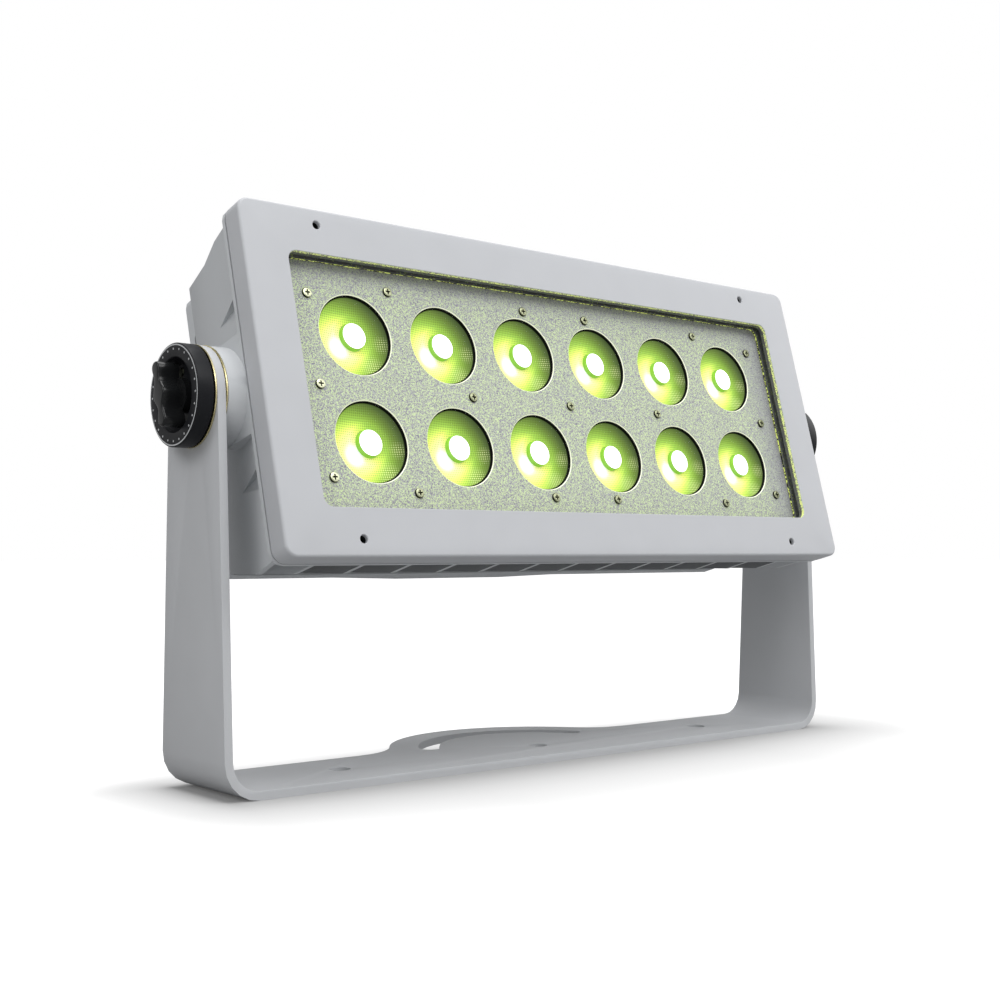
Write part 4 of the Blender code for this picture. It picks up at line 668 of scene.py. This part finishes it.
# Places in a dish are shares of its radius, to the right and up
FACETS_PER_RADIUS = 18.0
SEAM_FROM, DOT_TO = (0.35, 0.6), (0.20, 0.34)  # in facets, from the middle of one
MIDDLE_ENDS, RIM_STARTS = 0.5, 0.92
MIDDLE_LEVEL, RIM_LEVEL = 0.95, 0.68
LEVEL_LEAN = (-0.33, 0.0, -0.22)
RIM_SHADE_FROM = (0.915, 0.935)
RIGHT_DOTS_AT, RIGHT_DOTS_REACH, RIGHT_DOTS = (0.74, 0.0, -0.13), (0.06, 0.24), 0.6
LOW_DOTS_AT, LOW_DOTS_REACH, LOW_DOTS = (0.40, 0.0, -0.72), (0.10, 0.34), 0.8
GLARE_AT, GLARE_REACH = (-0.43, 0.0, -0.30), (0.14, 0.34)

# Vacuum metallised plastic: a satin mirror. The green of its own light is painted on as colour
# and glow, with painted shade, highlights and reflections
dish_painted_light, tree, shader = new_material("faceted_reflector_painted_green_light")
spread = add_node(tree, "Attribute", {"attribute_name": "dish"}).outputs["Vector"]
# Painted shade: brightness falls from the lower left to the upper right, and towards the rim
radius = add_node(tree, "VectorMath", {"operation": "LENGTH"}, {0: spread})
ends, levels = (MIDDLE_ENDS, RIM_STARTS), (MIDDLE_LEVEL, RIM_LEVEL)
inward = remap(tree, radius.outputs["Value"], ends, levels)
lean = add_node(tree, "VectorMath", {"operation": "DOT_PRODUCT"}, {0: spread, 1: LEVEL_LEAN})
level = maths(tree, "ADD", inward, lean.outputs["Value"])
LEVEL_TOP = 1.2
share = maths(tree, "DIVIDE", level, LEVEL_TOP)
ramp = add_node(tree, "ValToRGB", None, {"Fac": share})
TONES = {
    0.30: "#3F4A2E",
    0.43: "#566A3B",
    0.55: "#6C853F",
    0.65: "#7C9C45",
    0.75: "#92B94C",
    0.85: "#AAD659",
    0.93: "#D8F86A",
    0.99: "#F8FF86",
    1.08: "#FFFFB4",
    1.17: "#FFFFFF",
}
colours = ramp.color_ramp
for tone_level, code in TONES.items():
    colours.elements.new(tone_level / LEVEL_TOP).color = linear(code)
colours.elements.remove(colours.elements[0])
colours.elements.remove(colours.elements[-1])
# The square facets are about 1.4 mm wide; near the rim some have the light source painted on them
# as pale dots, a painted reflection
cells = add_node(
    tree, "TexVoronoi", None, {"Vector": spread, "Scale": FACETS_PER_RADIUS, "Randomness": 0.0}
)
seams = remap(tree, cells.outputs["Distance"], SEAM_FROM, (0.0, 0.5))
grid = mixed(tree, seams, ramp.outputs["Color"], linear("#4A5C22"))
dots = remap(tree, cells.outputs["Distance"], DOT_TO, (1.0, 0.0))
right_from = add_node(tree, "VectorMath", {"operation": "DISTANCE"}, {0: spread, 1: RIGHT_DOTS_AT})
right_share = remap(tree, right_from.outputs["Value"], RIGHT_DOTS_REACH, (RIGHT_DOTS, 0.0))
low_from = add_node(tree, "VectorMath", {"operation": "DISTANCE"}, {0: spread, 1: LOW_DOTS_AT})
low_share = remap(tree, low_from.outputs["Value"], LOW_DOTS_REACH, (LOW_DOTS, 0.0))
mirrored = maths(tree, "MULTIPLY", maths(tree, "MAXIMUM", right_share, low_share), dots)
dotted = mixed(tree, mirrored, grid, linear("#EEF5B4"))
# Painted reflection: the light source as one white spot at the lower left
glare_from = add_node(tree, "VectorMath", {"operation": "DISTANCE"}, {0: spread, 1: GLARE_AT})
glare = remap(tree, glare_from.outputs["Value"], GLARE_REACH, (1.0, 0.0), "SMOOTHSTEP")
glared = mixed(tree, glare, dotted, (1, 1, 1, 1))
# Painted shade: near its rim the dish is painted black, where the plate's opening shades it
rim_shade = remap(tree, radius.outputs["Value"], RIM_SHADE_FROM)
coat = mixed(tree, rim_shade, glared, linear("#0A0B08"))
painted = add_node(tree, "VectorMath", {"operation": "SCALE"}, {0: coat, "Scale": 0.7})
# The painted colour also glows, though the dish is no lamp
feed(tree, shader, {"Base Color": painted.outputs["Vector"], "Emission Color": coat})
feed(tree, shader, {"Emission Strength": 0.5, "Roughness": 0.5, "Specular IOR Level": 0.05})

for number, (x, z) in enumerate(LIGHTS, start=1):
    shape = bmesh.new()
    inner = EMITTER_RADIUS + EMITTER_FIT
    radii = [
        inner + (REFLECTOR_RADIUS - inner) * step / DISH_STEPS for step in range(DISH_STEPS + 1)
    ]
    sections = [circle(inner, RIM_Y + REFLECTOR_DEPTH)]
    for radius in radii:
        bottom = 1 - (radius / REFLECTOR_RADIUS) ** 2
        sections.append(circle(radius, RIM_Y + DISH_DEPTH * bottom))
    sections += [circle(REFLECTOR_RADIUS, RIM_Y + REFLECTOR_DEPTH), sections[0]]
    walls(shape, sections, (x, z), 64)
    spread_layer = shape.verts.layers.float_vector.new("dish")
    for vert in shape.verts:
        vert[spread_layer] = (
            (vert.co.x - x) / REFLECTOR_RADIUS, 0, (vert.co.z - z) / REFLECTOR_RADIUS
        )
    shape.transform(HEAD)
    node = f"reflector_{number:02d}"
    finished(f"{node}_dish", shape, [dish_painted_light], "head", [node], 60)

# Light sources on their board
# Round light engines: a white emitting face in a white holder painted green by the light, on the
# white circuit board
BOARD_Y, BOARD_THICK = -0.0265, 0.0016
BOARD_HALF, BOARD_CORNER = (0.183, 0.0575), 0.001
FACE_BEVEL, HOLDER_FACE_Y, HOLDER_FOOT = 0.0003, RIM_Y - 0.0001, 0.0002
FROST, MOTTLE = 1 / 600, 1 / 300  # 1.7 and 3.3 mm, as fine as still shows
# Frosted silicone over the chips, so bright that it shows as plain white
emitting, tree, shader = new_material("light_source_face")
white = (1, 1, 1, 1)
power = remap(tree, noise(tree, 1 / FROST), target=(1.05, 1.15))
feed(tree, shader, {"Emission Strength": power, "Base Color": white, "Emission Color": white})
# The moulded holder is white; the green light that fills the dish is painted on it as colour and a
# faint glow
holder, tree, shader = new_material("light_source_holder_painted_green_light")
green = mixed(tree, noise(tree, 1 / MOTTLE), linear("#84C438"), linear("#9CDA54"))
feed(tree, shader, {"Base Color": green, "Emission Color": green, "Emission Strength": 0.2})
solder_mask = coated("white_solder_mask", "#E8E9E6", 0.5, 0.0004, 0.05)
shape = bmesh.new()
slab(shape, BOARD_HALF, BOARD_CORNER, BOARD_Y, BOARD_THICK)
for x, z in LIGHTS:
    sections = [
        circle(EMITTER_RADIUS - FACE_BEVEL, HOLDER_FACE_Y),
        circle(EMITTER_RADIUS, RIM_Y + HOLDER_FOOT),
        circle(EMITTER_RADIUS, BOARD_Y + HOLDER_FOOT),
    ]
    face_rim, foot_rim, bands = walls(shape, sections, (x, z), 48)
    for face in bmesh.ops.contextual_create(shape, geom=face_rim)["faces"]:
        face.material_index = 1
    for face in bands[0] + bands[1]:
        face.material_index = 2
    bmesh.ops.contextual_create(shape, geom=foot_rim)
shape.transform(HEAD)
finishes = [solder_mask, emitting, holder]
finished("led_board_with_sources", shape, finishes, "head", ["led_board"])

# Friction shims
# Thin turned brass rings on both sides of each arm, of which a fine bright line shows
brass = metal("turned_brass", "#EADDA8", 0.25, 0.3)
SHIM_SHOWN = 0.0007  # drawn wider than the real 0.5 mm sheet, so that it shows as a line
SHIM_PROUD = 0.0001
SHIM_RIM = 0.002
SPUN_STEPS = 96
SIDE_TURN = {
    "left": Matrix.Rotation(math.radians(-90), 4, "Y"),
    "right": Matrix.Rotation(math.radians(90), 4, "Y"),
}


def spun(shape, profile):
    """Turns a closed profile of (radius, height) points about Z."""
    rings = []
    for step in range(SPUN_STEPS):
        turn = Matrix.Rotation(2 * math.pi * step / SPUN_STEPS, 4, "Z")
        ring = [shape.verts.new(turn @ Vector((radius, 0, height))) for radius, height in profile]
        rings.append(ring)
    for at in range(SPUN_STEPS):
        band(shape, rings[at - 1], rings[at])


for side, turn in SIDE_TURN.items():
    for layer in ("inner", "outer"):
        node = f"{side}_{layer}_shim"
        box = frame["nodes"][node].bound_box
        low, high = Vector(box[0]), Vector(box[6])
        middle, radius = abs(low.x + high.x) / 2, (high.z - low.z) / 2 + SHIM_PROUD
        shape = bmesh.new()
        near, far = middle - SHIM_SHOWN / 2, middle + SHIM_SHOWN / 2
        inner = radius - SHIM_RIM
        spun(shape, [(inner, near), (radius, near), (radius, far), (inner, far)])
        shape.transform(HEAD @ turn)
        finished(f"{node}_ring", shape, [brass], "yoke", [node])

# Pivot studs
# Turned and zinc plated steel; only their heads inside the housing and their tips are bare
steel = metal("zinc_plated_steel", "#B9BBC0", 0.25, 0.45)
for side in ("left", "right"):
    node = f"{side}_pivot_stud"
    finished(f"{node}_turned", broken_edges(node, 0.0002, 1), [steel], "head", [node])


# Tilt dials
# Moulded black plastic, glossy, with a printed scale of dots round the finger bowl
HANDLING_MARKS = 1 / 180


def gloss_black(name, colour, low, high, mirror=0.25):
    """Moulded black plastic: a smooth gloss, broken by faint handling marks of about 5 mm."""
    made, tree, shader = new_material(name)
    sheen = remap(tree, noise(tree, 1 / HANDLING_MARKS, 4.0), target=(low, high))
    feed(tree, shader, {"Roughness": sheen, "Base Color": linear(colour)})
    feed(tree, shader, {"Specular IOR Level": mirror})
    return made


DIAL_X, DIAL_FACE_X = 0.2526, 0.2624
DIAL_RADIUS, BOWL_RADIUS, BOWL_FLOOR_RADIUS, DIAL_FLOOR_X = 0.0283, 0.0205, 0.0165, 0.2556
DIAL_EDGE, BOWL_EDGE, FLOOR_EDGE = 0.0008, 0.0006, 0.0012
DIAL_BORE_RADIUS = 0.0063
BOWL_WAIST_X, BOWL_WAIST = 0.2592, 0.001  # the bowl narrows a little from its mouth


def rounding(corner, radius, start, stop, steps=4):
    """Points of an arc of a profile, between two angles in degrees."""
    angles = [math.radians(start + (stop - start) * step / steps) for step in range(steps + 1)]
    return [(corner[0] + radius * math.cos(a), corner[1] + radius * math.sin(a)) for a in angles]


dial_black = gloss_black("black_moulded_dial", "#1D1E21", 0.3, 0.45, 0.12)
print_white = coated("white_pad_print", "#C9CBCD", 0.6, 0.0002, 0.05)
SCALE_RADIUS, SCALE_WIDTH = 0.0272, 0.0007
# A pin keys the dial to its stud
DIAL_PIN_AT, DIAL_PIN_RADIUS, DIAL_PIN_TOP, DIAL_PIN_HEIGHT = (0.0136, 0.0004), 0.0028, 0.8, 0.0005
MARK_RADIUS, MARK_SIZE, MARK_COUNT, MARK_RAISE = 0.0250, 0.0006, 24, 0.00005
for side, turn in SIDE_TURN.items():
    shape = bmesh.new()
    profile = [(DIAL_BORE_RADIUS, DIAL_X)]
    profile += [(DIAL_RADIUS - DIAL_EDGE, DIAL_X), (DIAL_RADIUS, DIAL_X + DIAL_EDGE)]
    profile += rounding((DIAL_RADIUS - DIAL_EDGE, DIAL_FACE_X - DIAL_EDGE), DIAL_EDGE, 0, 90)
    profile += rounding((BOWL_RADIUS + BOWL_EDGE, DIAL_FACE_X - BOWL_EDGE), BOWL_EDGE, 90, 180)
    profile += [(BOWL_RADIUS - BOWL_WAIST, BOWL_WAIST_X)]
    profile += rounding((BOWL_FLOOR_RADIUS, DIAL_FLOOR_X + FLOOR_EDGE), FLOOR_EDGE, 0, -90)
    profile += [(DIAL_BORE_RADIUS, DIAL_FLOOR_X)]
    spun(shape, profile)
    spot = Matrix.Translation((*DIAL_PIN_AT, DIAL_FLOOR_X + DIAL_PIN_HEIGHT / 2))
    pin = bmesh.ops.create_cone(
        shape,
        cap_ends=True,
        segments=32,
        radius1=DIAL_PIN_RADIUS,
        radius2=DIAL_PIN_RADIUS * DIAL_PIN_TOP,
        depth=DIAL_PIN_HEIGHT,
        matrix=spot,
    )
    for face in {face for vert in pin["verts"] for face in vert.link_faces}:
        face.material_index = 1
    shape.transform(HEAD @ turn)
    finishes, node = [dial_black, dark_zinc_and_shade], f"{side}_tilt_dial"
    finished(f"{node}_moulding", shape, finishes, "head", [node], 40)

    shape = bmesh.new()
    inner, outer = SCALE_RADIUS - SCALE_WIDTH / 2, SCALE_RADIUS + SCALE_WIDTH / 2
    low, high = DIAL_FACE_X, DIAL_FACE_X + MARK_RAISE
    spun(shape, [(outer, low), (outer, high), (inner, high), (inner, low)])
    for mark in range(MARK_COUNT):
        angle = 2 * math.pi * mark / MARK_COUNT
        spot = (
            MARK_RADIUS * math.cos(angle),
            MARK_RADIUS * math.sin(angle),
            DIAL_FACE_X + MARK_RAISE / 2,
        )
        bmesh.ops.create_cone(
            shape,
            cap_ends=True,
            segments=12,
            radius1=MARK_SIZE,
            radius2=MARK_SIZE,
            depth=MARK_RAISE,
            matrix=Matrix.Translation(spot),
        )
    shape.transform(HEAD @ turn)
    finished(f"{node}_printed_scale", shape, [print_white], "head", [])

# Lock knobs
# Glossy black wing knobs moulded over a steel nut: a wide middle, two finger hollows and two lobes
KNOB_X, KNOB_END_X, KNOB_HUB = 0.2559, 0.2716, 0.004
KNOB_HALF_LENGTH, KNOB_MIDDLE, KNOB_HOLLOW, KNOB_LOBE = 0.0145, 0.0062, 0.0027, 0.0039
KNOB_HOLLOW_AT = 0.58 * KNOB_HALF_LENGTH  # from the middle to the narrowest place
KNOB_EDGE = 0.0012
KNOB_HUB_RADIUS, KNOB_HUB_GAP = 0.0095, 0.0002
WING_SINK = 0.0008  # how far the wing reaches into its hub
WING_STEPS = 16
knob_black = gloss_black("black_moulded_knob", "#1B1C1D", 0.10, 0.18, 0.25)


def wing_half_width(along):
    """Half the wing's width at a place along it, from the middle over the hollow to the lobe."""
    if along < KNOB_HOLLOW_AT:
        wide, nearness = KNOB_MIDDLE, (1 + math.cos(math.pi * along / KNOB_HOLLOW_AT)) / 2
    else:
        share = (along - KNOB_HOLLOW_AT) / (KNOB_HALF_LENGTH - KNOB_HOLLOW_AT)
        wide, nearness = KNOB_LOBE, (1 - math.cos(math.pi * share)) / 2
    return KNOB_HOLLOW + (wide - KNOB_HOLLOW) * nearness


for side, sign in (("left", -1), ("right", 1)):
    shape = bmesh.new()
    stations = [KNOB_HALF_LENGTH * step / WING_STEPS for step in range(-WING_STEPS, WING_STEPS + 1)]
    half = [(-wing_half_width(abs(at)), at) for at in stations]
    half += rounding((0, KNOB_HALF_LENGTH), KNOB_LOBE, 180, 0, 14)[1:-1]
    points = half + [(-y, -z) for y, z in half]
    depths = (KNOB_X + KNOB_HUB - WING_SINK, KNOB_END_X)
    foot, top = ([shape.verts.new((sign * x, y, z)) for y, z in points] for x in depths)
    shape.faces.new(foot)
    shape.faces.new(top)
    band(shape, foot, top)
    hub_place = Matrix.Translation((sign * (KNOB_X + KNOB_HUB / 2), 0, 0))
    bmesh.ops.create_cone(
        shape,
        cap_ends=True,
        segments=48,
        radius1=KNOB_HUB_RADIUS,
        radius2=KNOB_HUB_RADIUS,
        depth=KNOB_HUB - KNOB_HUB_GAP,
        matrix=hub_place @ Matrix.Rotation(math.radians(90), 4, "Y"),
    )
    bmesh.ops.recalc_face_normals(shape, faces=shape.faces)
    rounded(shape, rim_edges(shape, top), KNOB_EDGE, 5)
    shape.transform(HEAD)
    body = f"{side}_lock_knob"
    finished(f"{body}_wing", shape, [knob_black], body, [body], 40)

# Rear cover and driver housing
# Two die-cast trays in the same coat as the housing
for node in ("rear_cover", "driver_housing"):
    shape = broken_edges(node, 0.0003, 1)
    finished(f"{node}_casting", shape, [cast_coat], "head", [node])

# Screws of the rear and of the side pockets
# Zinc plated steel with plain round heads, and the bent loop for the safety cable beside them
kinds = ("rear_cover_screw", "driver_housing_bolt", "bezel_screw")
for node in [f"{kind}_{number}" for kind in kinds for number in range(1, 5)] + ["safety_eye"]:
    finished(f"{node}_plated", broken_edges(node, 0.0002, 1), [steel], "head", [node])

# Connectors, vent and buttons
# Moulded black plastic parts; the buttons have the matt face of silicone keys
panel_black = gloss_black("black_nylon", "#232426", 0.4, 0.55)
for node in ("power_inlet", "power_outlet", "data_inlet", "data_outlet", "vent_plug"):
    shape = broken_edges(node, 0.0003, 2)
    finished(f"{node}_moulding", shape, [panel_black], "head", [node])
key_rubber = rubber("silicone_key", "#303236", 0.7)
for node in ("menu_button", "up_button", "down_button", "enter_button"):
    shape = broken_edges(node, 0.0003, 2)
    finished(f"{node}_key", shape, [key_rubber], node, [node])

# Display window
# Smoked polycarbonate, flush with the driver housing's back
smoked = gloss_black("smoked_polycarbonate", "#101218", 0.05, 0.12)
shape = broken_edges("display_window", 0.0002, 1)
finished("display_window_pane", shape, [smoked], "head", ["display_window"])

# Driver module and control board
# Inside the driver housing: a folded aluminium case and a green circuit board
case_metal = metal("folded_aluminium_case", "#C4C6C9", 0.3, 0.5, 400.0)
shape = broken_edges("driver_module", 0.0005, 2)
finished("driver_module_case", shape, [case_metal], "head", ["driver_module"])
board_green = coated("green_solder_mask", "#1F5A34", 0.45, 0.0004, 0.05)
shape = broken_edges("control_board", 0.0001, 1)
finished("control_board_laminate", shape, [board_green], "head", ["control_board"])
